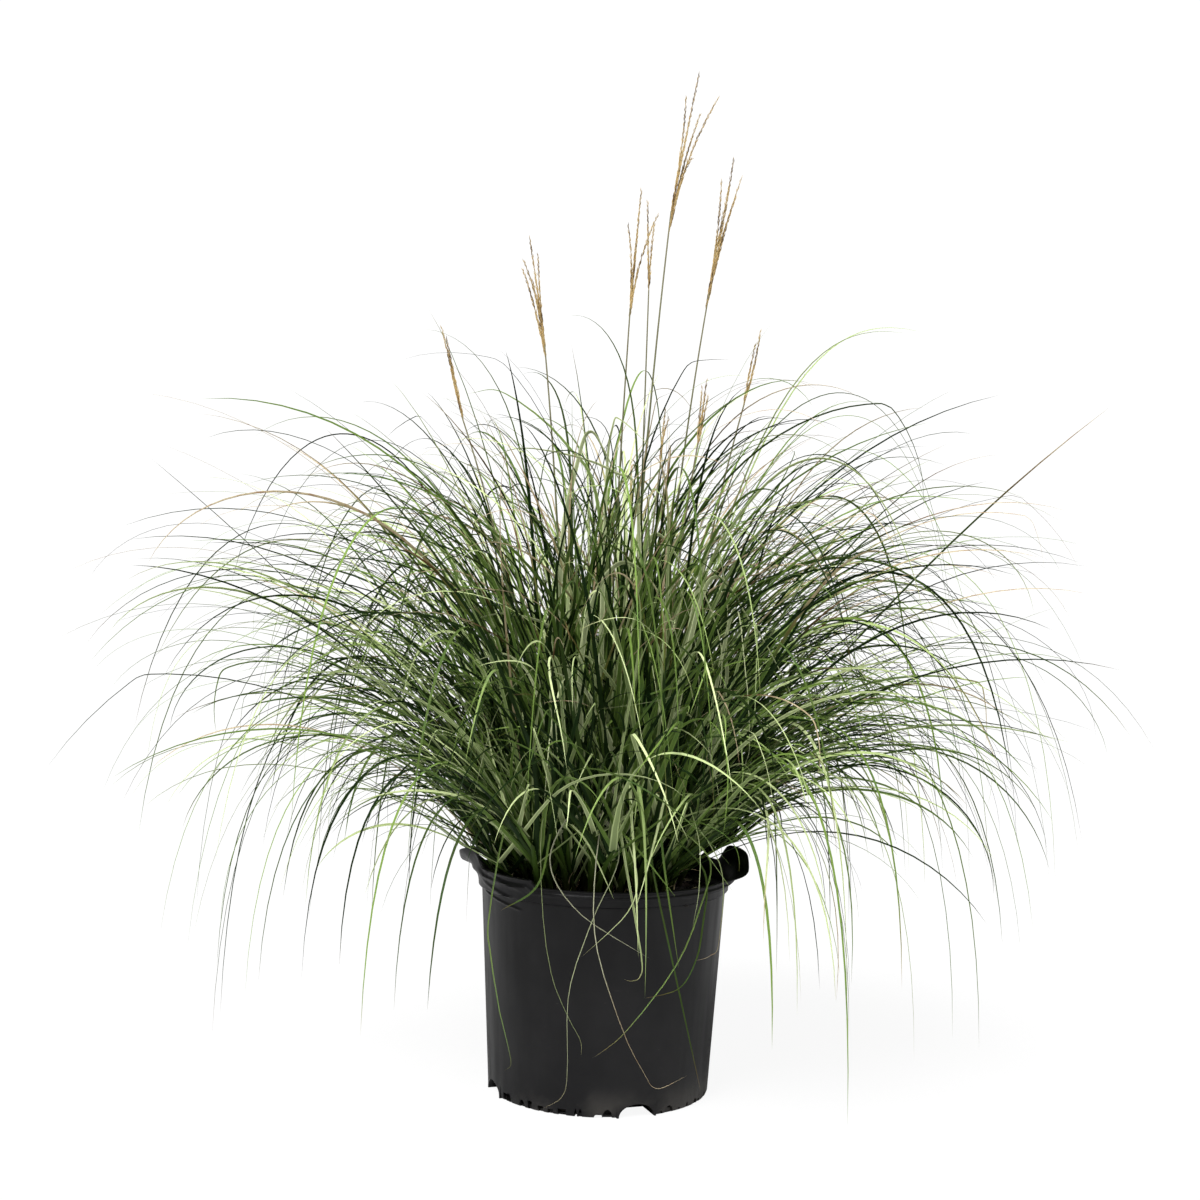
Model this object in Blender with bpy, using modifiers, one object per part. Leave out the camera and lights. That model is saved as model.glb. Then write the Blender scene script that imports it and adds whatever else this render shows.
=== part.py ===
"""Potted maiden grass: a clump of arching leaf tufts and plumed culms in a black nursery can.

Metres, +Z up. The origin is the middle of the can's flat base, and -Y is the front.
"""

import math

import bmesh
import bpy
import numpy as np
from mathutils import Matrix, Vector

# Nursery can
POT_HEIGHT = 0.229
POT_BASE_RADIUS = 0.116
POT_WALL_TOP_RADIUS = 0.1285
POT_BAND_RADIUS = 0.131
POT_BAND_HEIGHT = 0.016
POT_BEAD = 0.0018
POT_WALL = 0.0022
POT_FLOOR = 0.0025
POT_SEGMENTS = 40
BASE_CHAMFER = 0.003
FLOOR_CORNER = 0.008

# Each grip is a tab of the rim that flares outwards, at one end of a raised collar. A stretch is
# given in degrees past the nearer grip: where it starts, is full, is last full and stops.
GRIP_AXIS = 0.0
FLARE_STRETCH = (-24.0, -4.0, 4.0, 24.0)
TAB_STRETCH = (-10.0, 14.0, 15.0, 22.0)
COLLAR_STRETCH = (-18.0, 6.0, 54.0, 60.0)
GRIP_FLARE = 0.021
TAB_RISE = 0.018
COLLAR_RISE = 0.0065
FLARE_BEND = 3.0

# The space round the rim that the leaves keep off, a little larger than the rim itself
ZONE_AXIS = -10.0
ZONE_TOP = 0.232
ZONE_RADIUS = 0.1325
ZONE_FLARE = 0.019
ZONE_RISE = 0.008
ZONE_GRIP = (-36.0, -27.0, 27.0, 36.0)
ZONE_COLLAR = (-58.0, -50.0, 50.0, 58.0)

# Drain arches and the small notches between them, round the bottom edge
ARCH_COUNT = 4
FIRST_ARCH = -70.0
ARCH_HALF_WIDTH = 0.019
ARCH_HEIGHT = 0.010
ARCH_DEPTH = 0.013
NOTCHES_PER_QUARTER = 6
NOTCH_WIDTH = 0.005
NOTCH_HEIGHT = 0.004
NOTCH_DEPTH = 0.0045

# Potting soil
SOIL_TOP = 0.209
SOIL_EDGE_DROP = 0.0015
GAP = 0.0003

# Crown: where the tufts and culms stand on the soil
TUFT_COUNT = 44
CROWN_X = -0.012
CROWN_Y = 0.002
CROWN_RADIUS = 0.095
GOLDEN_ANGLE = 137.508
INNER_LEAN = 3.0
OUTER_LEAN = 42.0
INNER_STEM = 0.155
OUTER_STEM = 0.100
STEM_BASE_RADIUS = 0.0045
STEM_TOP_RADIUS = 0.0027
STEM_SIDES = 5
STEM_STATIONS = (0.0, 0.5, 1.0)

# Leaves
LEAVES_PER_TUFT = 3
STILL_RISING = None
COLLARS = (0.93, 0.70, 0.48)
LEAF_WIDTH = 0.0056
LEAF_KEEL = 0.0015
LEAF_STATIONS = (0.0, 0.13, 0.29, 0.45, 0.60, 0.74, 0.88, 1.0)
LEAF_HEADSTART = 0.34
ARC_STEPS = 60
LEAF_SPACING = 0.0072
STEM_SPACING = 0.0085
CULM_SPACING = 0.0078
CULM_STEP = 0.003
CULM_STEPS = 120
RIM_SPACING = 0.006
LOWEST_LEAF = 0.006
FREE_LENGTH = 0.045
LAYOUT_SEED = 7
MEASURED_TURN = 9.0
TUFTS_TRIED = 14
GROWN_TURN = 40.0
LEAF_DRAWS = 8
WIDEST_LOW = 0.36

# Culms and plumes
CULM_BASE_RADIUS = 0.0017
CULM_TOP_RADIUS = 0.0010
CULM_STATIONS = (0.0, 0.25, 0.5, 0.75, 1.0)
RACEME_RADIUS = 0.0021

# Leaves that stand out in the outline: azimuth in degrees, peak, reach from the axis, tip height
LEFT_FAN = (
    (172, 0.62, 0.500, 0.615),
    (184, 0.50, 0.573, 0.460),
    (176, 0.545, 0.555, 0.480),
    (190, 0.45, 0.518, 0.305),
    (196, 0.44, 0.503, 0.310),
    (168, 0.59, 0.543, 0.350),
    (186, 0.53, 0.531, 0.440),
)
LEFT_HANGING = (
    (202, 0.42, 0.413, 0.085),
    (190, 0.40, 0.456, 0.170),
    (180, 0.39, 0.408, 0.110),
    (212, 0.38, 0.397, 0.135),
    (205, 0.37, 0.369, 0.135),
    (225, 0.36, 0.318, 0.105),
    (235, 0.33, 0.330, 0.140),
    (243, 0.32, 0.343, 0.150),
    (170, 0.36, 0.354, 0.240),
    (200, 0.33, 0.320, 0.260),
)
RIGHT_FAN = (
    (-3, 0.49, 0.571, 0.375),
    (-12, 0.42, 0.499, 0.402),
    (6, 0.593, 0.527, 0.448),
    (14, 0.64, 0.445, 0.635),
    (10, 0.60, 0.505, 0.570),
    (-8, 0.47, 0.480, 0.325),
    (12, 0.45, 0.493, 0.330),
    (-16, 0.40, 0.461, 0.312),
)
RIGHT_HANGING = (
    (-42, 0.37, 0.317, 0.030),
    (-52, 0.31, 0.264, 0.098),
    (-36, 0.33, 0.289, 0.095),
    (-26, 0.36, 0.348, 0.080),
    (-18, 0.42, 0.370, 0.090),
    (-10, 0.40, 0.433, 0.170),
    (6, 0.40, 0.438, 0.150),
    (-4, 0.43, 0.450, 0.185),
    (-46, 0.32, 0.315, 0.150),
    (-30, 0.36, 0.290, 0.205),
    (-55, 0.31, 0.221, 0.190),
)
CROWN_LEAVES = (
    (165, STILL_RISING, 0.378, 0.737),
    (195, STILL_RISING, 0.243, 0.737),
    (190, 0.640, 0.333, 0.628),
    (200, STILL_RISING, 0.267, 0.662),
    (170, STILL_RISING, 0.211, 0.824),
    (20, STILL_RISING, 0.170, 0.820),
    (8, 0.822, 0.331, 0.813),
    (-15, STILL_RISING, 0.242, 0.728),
    (12, STILL_RISING, 0.382, 0.759),
    (-25, STILL_RISING, 0.296, 0.682),
    (-12, 0.672, 0.344, 0.663),
    (150, STILL_RISING, 0.060, 0.789),
)
OVER_THE_POT = (
    (-118, 0.33, 0.193, 0.060),
    (-95, 0.36, 0.191, 0.082),
    (-104, 0.34, 0.206, 0.034),
    (-66, 0.33, 0.208, 0.067),
    (-89, 0.40, 0.220, 0.088),
    (-58, 0.33, 0.188, 0.043),
    (-83, 0.30, 0.181, 0.153),
    (-74, 0.33, 0.177, 0.172),
    (-59, 0.30, 0.172, 0.166),
    (-79, 0.35, 0.214, 0.144),
    (-126, 0.29, 0.178, 0.205),
    (-97, 0.30, 0.172, 0.172),
)

# Leaves that give the clump its depth, towards the viewer and away
FRONT_AND_BACK = (
    (-100, 0.52, 0.400, 0.330),
    (-78, 0.54, 0.420, 0.340),
    (-113, 0.50, 0.430, 0.300),
    (-64, 0.50, 0.440, 0.310),
    (75, 0.50, 0.530, 0.400),
    (95, 0.48, 0.550, 0.320),
    (114, 0.56, 0.510, 0.360),
    (58, 0.46, 0.520, 0.300),
    (132, 0.50, 0.520, 0.330),
    (88, 0.62, 0.460, 0.520),
    (104, 0.40, 0.430, 0.120),
    (68, 0.38, 0.410, 0.150),
)

# Culms: foot (x, y), foot of the plume (x, y, z), tip of the plume (x, y, z), number of racemes
CULMS = (
    ((-0.045, 0.010), (-0.079, 0.000, 0.782), (-0.098, 0.000, 0.894), 3),
    ((0.000, 0.028), (0.010, 0.000, 0.823), (0.018, 0.000, 0.947), 2),
    ((0.028, 0.050), (0.030, 0.050, 0.850), (0.026, 0.050, 0.945), 1),
    ((0.020, -0.010), (0.050, 0.000, 0.926), (0.075, 0.000, 1.071), 3),
    ((0.050, 0.030), (0.094, 0.030, 0.845), (0.116, 0.030, 0.990), 3),
    ((-0.070, 0.000), (-0.164, 0.000, 0.704), (-0.188, 0.000, 0.797), 1),
    ((0.065, 0.040), (0.137, 0.050, 0.731), (0.152, 0.050, 0.810), 1),
    ((0.058, -0.030), (0.083, -0.050, 0.680), (0.090, -0.050, 0.745), 1),
    ((0.030, -0.035), (0.046, -0.030, 0.660), (0.049, -0.030, 0.716), 1),
)


# Small geometry


def turn_between(first, second):
    """Smallest angle between two azimuths, in degrees."""
    return abs((first - second + 180.0) % 360.0 - 180.0)


def along_rim(azimuth, axis, stretch):
    """1 on a stretch of the rim that follows an axis or its opposite, easing to 0 beyond it."""
    start, full, last, stop = stretch
    past = (azimuth - axis + 90.0) % 180.0 - 90.0
    share = min((past - start) / (full - start), (stop - past) / (stop - last))
    share = min(max(share, 0.0), 1.0)
    return share * share * (3.0 - 2.0 * share)


def crest_height(ends, middle, start, tip, peak):
    """Height of a curve's two middle handles for which its highest point is the peak."""
    low = min(start[2], tip[2])
    high = peak + 1.5
    for _ in range(40):
        crest = 0.5 * (low + high)
        if float(np.max(ends + middle * crest)) > peak:
            high = crest
        else:
            low = crest
    return crest


def arc_points(start, tip, peak, headstart=LEAF_HEADSTART, count=ARC_STEPS):
    """Points along a leaf from start over its peak to its tip, or still rising at its tip."""
    start = np.asarray(start, float)
    tip = np.asarray(tip, float)
    across = tip[:2] - start[:2]
    run = float(np.hypot(across[0], across[1]))
    t = np.linspace(0.0, 1.0, count)
    early = 3.0 * (1.0 - t) ** 2 * t
    late = 3.0 * (1.0 - t) * t**2
    ends = (1.0 - t) ** 3 * start[2] + t**3 * tip[2]
    if peak is STILL_RISING:
        climb = tip[2] - start[2]
        heights = ends + early * (start[2] + 0.46 * climb) + late * (start[2] + 0.84 * climb)
        near, far = 0.22, 0.62
    else:
        heights = ends + (early + late) * crest_height(ends, early + late, start, tip, peak)
        droop = min(max((peak - tip[2]) / run, 0.0), 1.0)
        near, far = headstart, 0.72 + 0.25 * droop
    outward = early * near + late * far + t**3
    return np.column_stack((start[:2] + np.outer(outward, across), heights))


def bent_points(start, end, upright, count=12):
    """Points of a stalk that leaves start straight up and bends over to end."""
    start = np.asarray(start, float)
    end = np.asarray(end, float)
    middle = start + np.array((0.0, 0.0, upright))
    t = np.linspace(0.0, 1.0, count)[:, None]
    return (1.0 - t) ** 2 * start + 2.0 * t * (1.0 - t) * middle + t**2 * end


def lengths_along(points):
    """Distance from the first point to each point, measured along the line."""
    steps = np.linalg.norm(np.diff(points, axis=0), axis=1)
    return np.concatenate(([0.0], np.cumsum(steps)))


def at_share(points, share):
    """Point at a share of the line's length."""
    along = lengths_along(points)
    wanted = share * along[-1]
    return np.array([np.interp(wanted, along, points[:, axis]) for axis in range(3)])


def evenly(points, spacing=0.005):
    """The same line as points a fixed distance apart."""
    along = lengths_along(points)
    wanted = np.linspace(0.0, along[-1], max(int(along[-1] / spacing), 2))
    return np.column_stack([np.interp(wanted, along, points[:, axis]) for axis in range(3)])


def faceted(points, stations, spacing=0.005):
    """Points a fixed distance apart on the straight runs between a line's stations."""
    corners = np.array([at_share(points, station) for station in stations])
    return evenly(corners, spacing)


# Where everything grows


def tuft_sites():
    """Foot, azimuth, share of the crown's radius and lean of each tuft, from the middle outwards."""
    sites = []
    for index in range(TUFT_COUNT):
        share = math.sqrt((index + 0.5) / TUFT_COUNT)
        azimuth = math.radians(index * GOLDEN_ANGLE)
        foot = (
            CROWN_X + CROWN_RADIUS * share * math.cos(azimuth),
            CROWN_Y + CROWN_RADIUS * share * math.sin(azimuth),
            SOIL_TOP + GAP,
        )
        lean = INNER_LEAN + (OUTER_LEAN - INNER_LEAN) * share**1.2
        sites.append((foot, math.degrees(azimuth) % 360.0, share, lean))
    return sites


def stem_points(site):
    """The sheath stem of a tuft: upright at its foot, then leaning away from the crown."""
    foot, azimuth, share, lean = site
    length = INNER_STEM + (OUTER_STEM - INNER_STEM) * share
    lean = math.radians(lean)
    heading = math.radians(azimuth)
    out = length * math.sin(lean)
    end = (
        foot[0] + out * math.cos(heading),
        foot[1] + out * math.sin(heading),
        foot[2] + length * math.cos(lean),
    )
    return bent_points(foot, end, 0.35 * length)


def culm_points(culm):
    """A culm from its foot on the soil to the foot of its plume."""
    foot, top, _, _ = culm
    return bent_points((*foot, SOIL_TOP + GAP), top, 0.5 * (top[2] - SOIL_TOP), 24)


def starting_lean(leaf):
    """How far from upright a leaf with this peak and reach leaves its collar, in degrees."""
    _, peak, reach, height = leaf
    top = height if peak is STILL_RISING else peak
    return math.degrees(math.atan(0.26 * reach / max(top - SOIL_TOP - 0.05, 0.03)))


def suitable_tufts(leaf, sites):
    """Tuft numbers in the order in which their side and lean suit a measured leaf."""
    wanted = starting_lean(leaf)
    costs = []
    for _, azimuth, share, lean in sites:
        aside = turn_between(leaf[0], azimuth) / 22.0 * (share + 0.1)
        costs.append(aside + abs(lean - wanted) / 9.0)
    return [int(index) for index in np.argsort(costs)]


def grown_leaf(rng, site):
    """A leaf for a tuft's free collar: short and upright in the middle, long and low outside."""
    _, azimuth, share, _ = site
    turn = rng.normal(0.0, 18.0 + 45.0 * (1.0 - share))
    peak = 0.80 - 0.36 * share + rng.uniform(-0.06, 0.07)
    reach = 0.22 + 0.28 * share**0.8 + rng.uniform(-0.06, 0.09)
    fall = min(0.05 + 0.22 * share + rng.uniform(0.0, 0.14), 0.9 * reach)
    height = max(peak - fall, 0.04)
    return (azimuth + turn, peak, min(reach, WIDEST_LOW + 0.45 * height), height)


def leaf_tip(leaf, turn=0.0):
    """Where a leaf's tip is, with the leaf turned by some degrees."""
    azimuth, _, reach, height = leaf
    heading = math.radians(azimuth + turn)
    return (reach * math.cos(heading), reach * math.sin(heading), height)


def clears_pot(points):
    """Whether a line stays off the can, its rim and the ground."""
    if points[:, 2].min() < LOWEST_LEAF:
        return False
    for x, y, z in points[points[:, 2] < ZONE_TOP + 2.0 * ZONE_RISE + 2.0 * RIM_SPACING]:
        azimuth = math.degrees(math.atan2(y, x))
        raised = along_rim(azimuth, ZONE_AXIS, ZONE_COLLAR)
        flared = along_rim(azimuth, ZONE_AXIS, ZONE_GRIP)
        radius = math.hypot(x, y)
        over = z > ZONE_TOP + ZONE_RISE * (raised + flared) + RIM_SPACING
        outside = radius > ZONE_RADIUS + ZONE_FLARE * flared + RIM_SPACING
        inside = radius < POT_WALL_TOP_RADIUS - POT_WALL - RIM_SPACING and z > SOIL_TOP
        if not (over or outside or inside):
            return False
    return True


def closest(points, other, margin):
    """Smallest distance between two lines, or margin where their boxes are further apart than it."""
    if (points.min(0) - margin > other.max(0)).any() or (points.max(0) + margin < other.min(0)).any():
        return margin
    return float(np.sqrt(((points[:, None, :] - other[None, :, :]) ** 2).sum(2)).min())


def turns_to_try(most, step=1.5):
    """Turns from none at all to most, growing on alternate sides."""
    yield 0.0
    for count in range(1, int(most / step) + 1):
        yield count * step
        yield -count * step


def free_culms(stems):
    """The culms, each with its foot moved just enough to clear the stems and the other culms."""
    taken = list(stems)
    freed = []
    for foot, top, tip, racemes in CULMS:
        for step in range(CULM_STEPS):
            away = CULM_STEP * math.sqrt(step)
            angle = math.radians(step * GOLDEN_ANGLE)
            moved = (foot[0] + away * math.cos(angle), foot[1] + away * math.sin(angle))
            points = faceted(culm_points((moved, top, tip, racemes)), CULM_STATIONS)
            if all(closest(points, other, CULM_SPACING) >= CULM_SPACING for other in taken):
                break
        taken.append(points)
        freed.append((moved, top, tip, racemes))
    return freed


class Clump:
    """The crown's stems and culms, and the leaves grown on them so far."""

    def __init__(self):
        self.sites = tuft_sites()
        self.stems = [faceted(stem_points(site), STEM_STATIONS) for site in self.sites]
        self.culms = free_culms(self.stems)
        self.stalks = self.stems + [faceted(culm_points(culm), CULM_STATIONS) for culm in self.culms]
        self.stalks += [evenly(np.array((culm[1], culm[2]))) for culm in self.culms]
        self.placed = []
        self.leaves = [[] for _ in self.sites]

    def clear(self, points, own):
        """Whether a leaf of tuft own keeps off the can, other stalks and the leaves so far."""
        if not clears_pot(points):
            return False
        free = points[lengths_along(points) > FREE_LENGTH]
        for index, stalk in enumerate(self.stalks):
            if closest(free if index == own else points, stalk, STEM_SPACING) < STEM_SPACING:
                return False
        for tuft, other in self.placed:
            if closest(free if tuft == own else points, other, LEAF_SPACING) < LEAF_SPACING:
                return False
        return True

    def grow(self, index, leaf, most_turn):
        """Grows a leaf on a tuft with a free collar, turned as little as will clear the rest."""
        if len(self.leaves[index]) >= LEAVES_PER_TUFT:
            return False
        collar = at_share(self.stems[index], COLLARS[len(self.leaves[index])])
        for turn in turns_to_try(most_turn):
            points = arc_points(collar, leaf_tip(leaf, turn), leaf[1])
            line = faceted(points, LEAF_STATIONS)
            if self.clear(line, index):
                self.placed.append((index, line))
                self.leaves[index].append(points)
                return True
        return False


def lay_out():
    """The whole clump: first the measured leaves, then grown ones on every free collar."""
    rng = np.random.default_rng(LAYOUT_SEED)
    clump = Clump()
    measured = CROWN_LEAVES + LEFT_FAN + RIGHT_FAN + LEFT_HANGING + RIGHT_HANGING + OVER_THE_POT
    for leaf in measured + FRONT_AND_BACK:
        tufts = suitable_tufts(leaf, clump.sites)[:TUFTS_TRIED]
        any(clump.grow(index, leaf, MEASURED_TURN) for index in tufts)
    for index, site in enumerate(clump.sites):
        for _ in range(LEAF_DRAWS):
            if len(clump.leaves[index]) < LEAVES_PER_TUFT:
                clump.grow(index, grown_leaf(rng, site), GROWN_TURN)
    return clump


# Meshes


def new_object(name, mesh, collection, material=None):
    """A new object in a collection, with its material."""
    thing = bpy.data.objects.new(name, mesh)
    collection.objects.link(thing)
    if material:
        mesh.materials.append(material)
    return thing


def from_bmesh(name, bm, collection, material=None):
    """A new object from a bmesh, shaded smooth but for its sharp edges."""
    mesh = bpy.data.meshes.new(name)
    bm.to_mesh(mesh)
    bm.free()
    mesh.shade_smooth()
    mesh.set_sharp_from_angle(angle=math.radians(40.0))
    return new_object(name, mesh, collection, material)


def plastic_look(name, colour, roughness):
    """A Principled material with one colour and roughness."""
    material = bpy.data.materials.new(name)
    material.use_nodes = True
    shader = material.node_tree.nodes["Principled BSDF"]
    shader.inputs["Base Color"].default_value = (*colour, 1.0)
    shader.inputs["Roughness"].default_value = roughness
    shader.inputs["Metallic"].default_value = 0.0
    return material


def tapered_sweep(bm, points, stations, sides, sizes, tip_size, keel=None):
    """A cone primitive cut into rings at the stations and laid along the points.

    sizes holds the half width at each station. With keel, the section is a shallow V of three
    sides whose keel hangs below; without it the section is round and the first ring is level.
    A tip_size of 0 ends in a point.
    """
    start = len(bm.verts)
    bmesh.ops.create_cone(
        bm,
        cap_ends=True,
        segments=sides,
        radius1=1.0,
        radius2=tip_size,
        depth=1.0,
        matrix=Matrix.Translation((0.0, 0.0, 0.5)),
    )
    bm.verts.ensure_lookup_table()
    own = list(bm.verts)[start:]
    for station in stations[1:-1]:
        faces = {face for vert in own for face in vert.link_faces}
        edges = {edge for face in faces for edge in face.edges}
        bmesh.ops.bisect_plane(
            bm,
            geom=own + list(edges) + list(faces),
            plane_co=(0.0, 0.0, station),
            plane_no=(0.0, 0.0, 1.0),
        )
        own = list(bm.verts)[start:]
    along = lengths_along(points)
    shares = along / along[-1]
    side = sideways(points)
    tangents = np.gradient(points, along, axis=0)
    for vert in own:
        share = min(max(vert.co.z, 0.0), 1.0)
        ring = 1.0 - (1.0 - tip_size) * share
        across = vert.co.x / ring if ring > 1e-6 else 0.0
        under = vert.co.y / ring if ring > 1e-6 else 0.0
        centre = Vector([float(np.interp(share, shares, points[:, axis])) for axis in range(3)])
        tangent = Vector([float(np.interp(share, shares, tangents[:, axis])) for axis in range(3)])
        tangent.normalize()
        lower = (-side).cross(tangent).normalized()
        half = float(np.interp(share, stations, sizes))
        if keel is None:
            vert.co = centre + side * (half * across) + lower * (half * under)
            if share == 0.0:
                vert.co.z = points[0][2]
        else:
            depth = keel * half / max(sizes) * (under + 0.5) / 1.5
            vert.co = centre + side * (half * across / math.cos(math.radians(30.0))) + lower * depth
    return own


def sideways(points):
    """The level direction across a line that stays in one upright plane."""
    along = points[-1] - points[0]
    if math.hypot(along[0], along[1]) < 1e-4:
        return Vector((0.0, -1.0, 0.0))
    return Vector((along[1], -along[0], 0.0)).normalized()


def taper(width, stations, collar=0.72, blunt=0.62):
    """Half widths of a leaf: narrower at its collar, widest a quarter up, drawn out to its tip."""
    halves = []
    for station in stations:
        swell = collar + (1.0 - collar) * min(station / 0.2, 1.0)
        halves.append(0.5 * width * swell * max(1.0 - station**1.8, 0.02) ** blunt)
    return halves


def union_of(base, extras):
    """Joins the extras to the base with exact unions."""
    for extra in extras:
        extra.hide_render = True
        extra.display_type = "WIRE"
        join = base.modifiers.new("join " + extra.name, "BOOLEAN")
        join.operation = "UNION"
        join.solver = "EXACT"
        join.object = extra


def build_tuft(number, site, leaves, parts, cutters, material):
    """One tuft: its sheath stem and the leaves grown from it, as one body."""
    name = f"leaf_tuft_{number:02d}"
    bm = bmesh.new()
    sizes = [STEM_BASE_RADIUS + (STEM_TOP_RADIUS - STEM_BASE_RADIUS) * share for share in STEM_STATIONS]
    tapered_sweep(bm, stem_points(site), STEM_STATIONS, STEM_SIDES, sizes, 0.5)
    stem = from_bmesh(name, bm, parts, material)
    blades = []
    for index, points in enumerate(leaves):
        bm = bmesh.new()
        halves = taper(LEAF_WIDTH, LEAF_STATIONS)
        tapered_sweep(bm, points, LEAF_STATIONS, 3, halves, 0.0, keel=LEAF_KEEL)
        blades.append(from_bmesh(f"{name}_leaf_{index + 1}", bm, cutters))
    union_of(stem, blades)


def build_culm(number, culm, parts, cutters, material):
    """One flowering culm with the racemes of its plume."""
    _, foot_of_plume, tip, racemes = culm
    name = f"flower_culm_{number:02d}"
    points = culm_points(culm)
    sizes = [CULM_BASE_RADIUS + (CULM_TOP_RADIUS - CULM_BASE_RADIUS) * share for share in CULM_STATIONS]
    bm = bmesh.new()
    tapered_sweep(bm, points, CULM_STATIONS, STEM_SIDES, sizes, 0.5)
    stalk = from_bmesh(name, bm, parts, material)
    spikes = []
    for index in range(racemes):
        bm = bmesh.new()
        spike = raceme_points(points, foot_of_plume, tip, index, racemes)
        halves = [RACEME_RADIUS * size for size in (0.4, 1.0, 0.9, 0.6, 0.05)]
        tapered_sweep(bm, spike, CULM_STATIONS, 3 if index else 4, halves, 0.0)
        spikes.append(from_bmesh(f"{name}_raceme_{index + 1}", bm, cutters))
    union_of(stalk, spikes)


def raceme_points(stalk, foot, tip, index, racemes):
    """One raceme: from just inside the culm's top, fanned to one side or the other."""
    foot = np.array(foot) - 0.004 * index * np.array((0.0, 0.0, 1.0))
    start = at_share(stalk, 0.985 - 0.012 * index)
    axis = np.array(tip) - foot
    length = np.linalg.norm(axis)
    aside = (0.0, 0.20, -0.16)[index] if racemes > 1 else 0.0
    forward = (0.0, 0.10, -0.12)[index] if racemes > 1 else 0.0
    reach = (1.0, 0.80, 0.86)[index]
    end = foot + axis * reach + length * np.array((aside, forward, 0.0)) * 0.8
    middle = foot + axis * 0.5 * reach + length * np.array((aside, forward, 0.0)) * 0.25
    t = np.linspace(0.0, 1.0, 9)[:, None]
    return (1.0 - t) ** 2 * start + 2.0 * t * (1.0 - t) * middle + t**2 * end


def turned(name, profile, collection, material, segments):
    """A body turned from a profile in the XZ plane, made a mesh of its own."""
    mesh = bpy.data.meshes.new(name + " profile")
    edges = [(index, index + 1) for index in range(len(profile) - 1)]
    mesh.from_pydata([(radius, 0.0, height) for radius, height in profile], edges, [])
    guide = new_object(name + " profile", mesh, collection)
    screw = guide.modifiers.new("turn", "SCREW")
    screw.steps = segments
    screw.render_steps = segments
    screw.use_merge_vertices = True
    screw.merge_threshold = 0.0001
    graph = bpy.context.evaluated_depsgraph_get()
    result = bpy.data.meshes.new_from_object(guide.evaluated_get(graph))
    bpy.data.objects.remove(guide)
    result.name = name
    result.materials.clear()
    return new_object(name, result, collection, material)


def wall_radius(height):
    """Outer radius of the can's tapered wall at a height."""
    share = height / (POT_HEIGHT - POT_BAND_HEIGHT)
    return POT_BASE_RADIUS + (POT_WALL_TOP_RADIUS - POT_BASE_RADIUS) * share


def pot_profile():
    """Half section of the can: along the inner floor, up inside, over the rim and down outside."""
    band_foot = POT_HEIGHT - POT_BAND_HEIGHT
    band_inside = POT_BAND_RADIUS - POT_WALL
    bead = POT_BAND_RADIUS + POT_BEAD
    return (
        (0.0, POT_FLOOR),
        (wall_radius(POT_FLOOR) - POT_WALL - 0.002, POT_FLOOR),
        (wall_radius(FLOOR_CORNER) - POT_WALL, FLOOR_CORNER),
        (wall_radius(band_foot) - POT_WALL, band_foot - 0.003),
        (band_inside, band_foot + 0.001),
        (band_inside, POT_HEIGHT - 0.0080),
        (band_inside, POT_HEIGHT - 0.0040),
        (band_inside + 0.0006, POT_HEIGHT),
        (POT_BAND_RADIUS - 0.0004, POT_HEIGHT),
        (POT_BAND_RADIUS, POT_HEIGHT - 0.0040),
        (bead, POT_HEIGHT - 0.0064),
        (POT_BAND_RADIUS, POT_HEIGHT - 0.0088),
        (POT_BAND_RADIUS, band_foot + 0.0015),
        (wall_radius(band_foot), band_foot - 0.001),
        (wall_radius(BASE_CHAMFER), BASE_CHAMFER),
        (POT_BASE_RADIUS - BASE_CHAMFER * 0.8, 0.0),
        (0.0, 0.0),
    )


def raise_grips(mesh):
    """Lifts the collars, and draws the rim up and outwards into the two grips."""
    foot = POT_HEIGHT - POT_BAND_HEIGHT
    for vert in mesh.vertices:
        if vert.co.z <= foot + 0.002:
            continue
        share = (vert.co.z - foot) / POT_BAND_HEIGHT
        azimuth = math.degrees(math.atan2(vert.co.y, vert.co.x))
        raised = along_rim(azimuth, GRIP_AXIS, COLLAR_STRETCH)
        tab = along_rim(azimuth, GRIP_AXIS, TAB_STRETCH)
        flared = along_rim(azimuth, GRIP_AXIS, FLARE_STRETCH)
        radius = math.hypot(vert.co.x, vert.co.y)
        bent = share**FLARE_BEND
        wider = (radius + GRIP_FLARE * flared * bent) / radius
        vert.co.x *= wider
        vert.co.y *= wider
        vert.co.z += share * COLLAR_RISE * raised + bent * TAB_RISE * tab


def drain_cutters(cutters):
    """The arches and notches of the bottom edge, as one cutter."""
    bm = bmesh.new()
    quarter = 360.0 / ARCH_COUNT
    for arch in range(ARCH_COUNT):
        azimuth = math.radians(FIRST_ARCH + quarter * arch)
        radius = POT_BASE_RADIUS + 0.004
        place = (
            Matrix.Rotation(azimuth, 4, "Z")
            @ Matrix.Translation((radius, 0.0, 0.0))
            @ Matrix.Rotation(math.radians(90.0), 4, "Y")
            @ Matrix.Diagonal((ARCH_HEIGHT, ARCH_HALF_WIDTH, 1.0, 1.0))
        )
        bmesh.ops.create_cone(
            bm,
            cap_ends=True,
            segments=16,
            radius1=1.0,
            radius2=1.0,
            depth=2.0 * ARCH_DEPTH,
            matrix=place,
        )
        for notch in range(NOTCHES_PER_QUARTER):
            share = (notch + 1.0) / (NOTCHES_PER_QUARTER + 1.0)
            turn = azimuth + math.radians(10.0 + (quarter - 20.0) * share)
            place = (
                Matrix.Rotation(turn, 4, "Z")
                @ Matrix.Translation((POT_BASE_RADIUS + 0.002, 0.0, 0.0))
                @ Matrix.Diagonal((NOTCH_DEPTH * 2.0, NOTCH_WIDTH, NOTCH_HEIGHT * 2.0, 1.0))
            )
            bmesh.ops.create_cube(bm, size=1.0, matrix=place)
    return from_bmesh("drain_cutters", bm, cutters)


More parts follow.
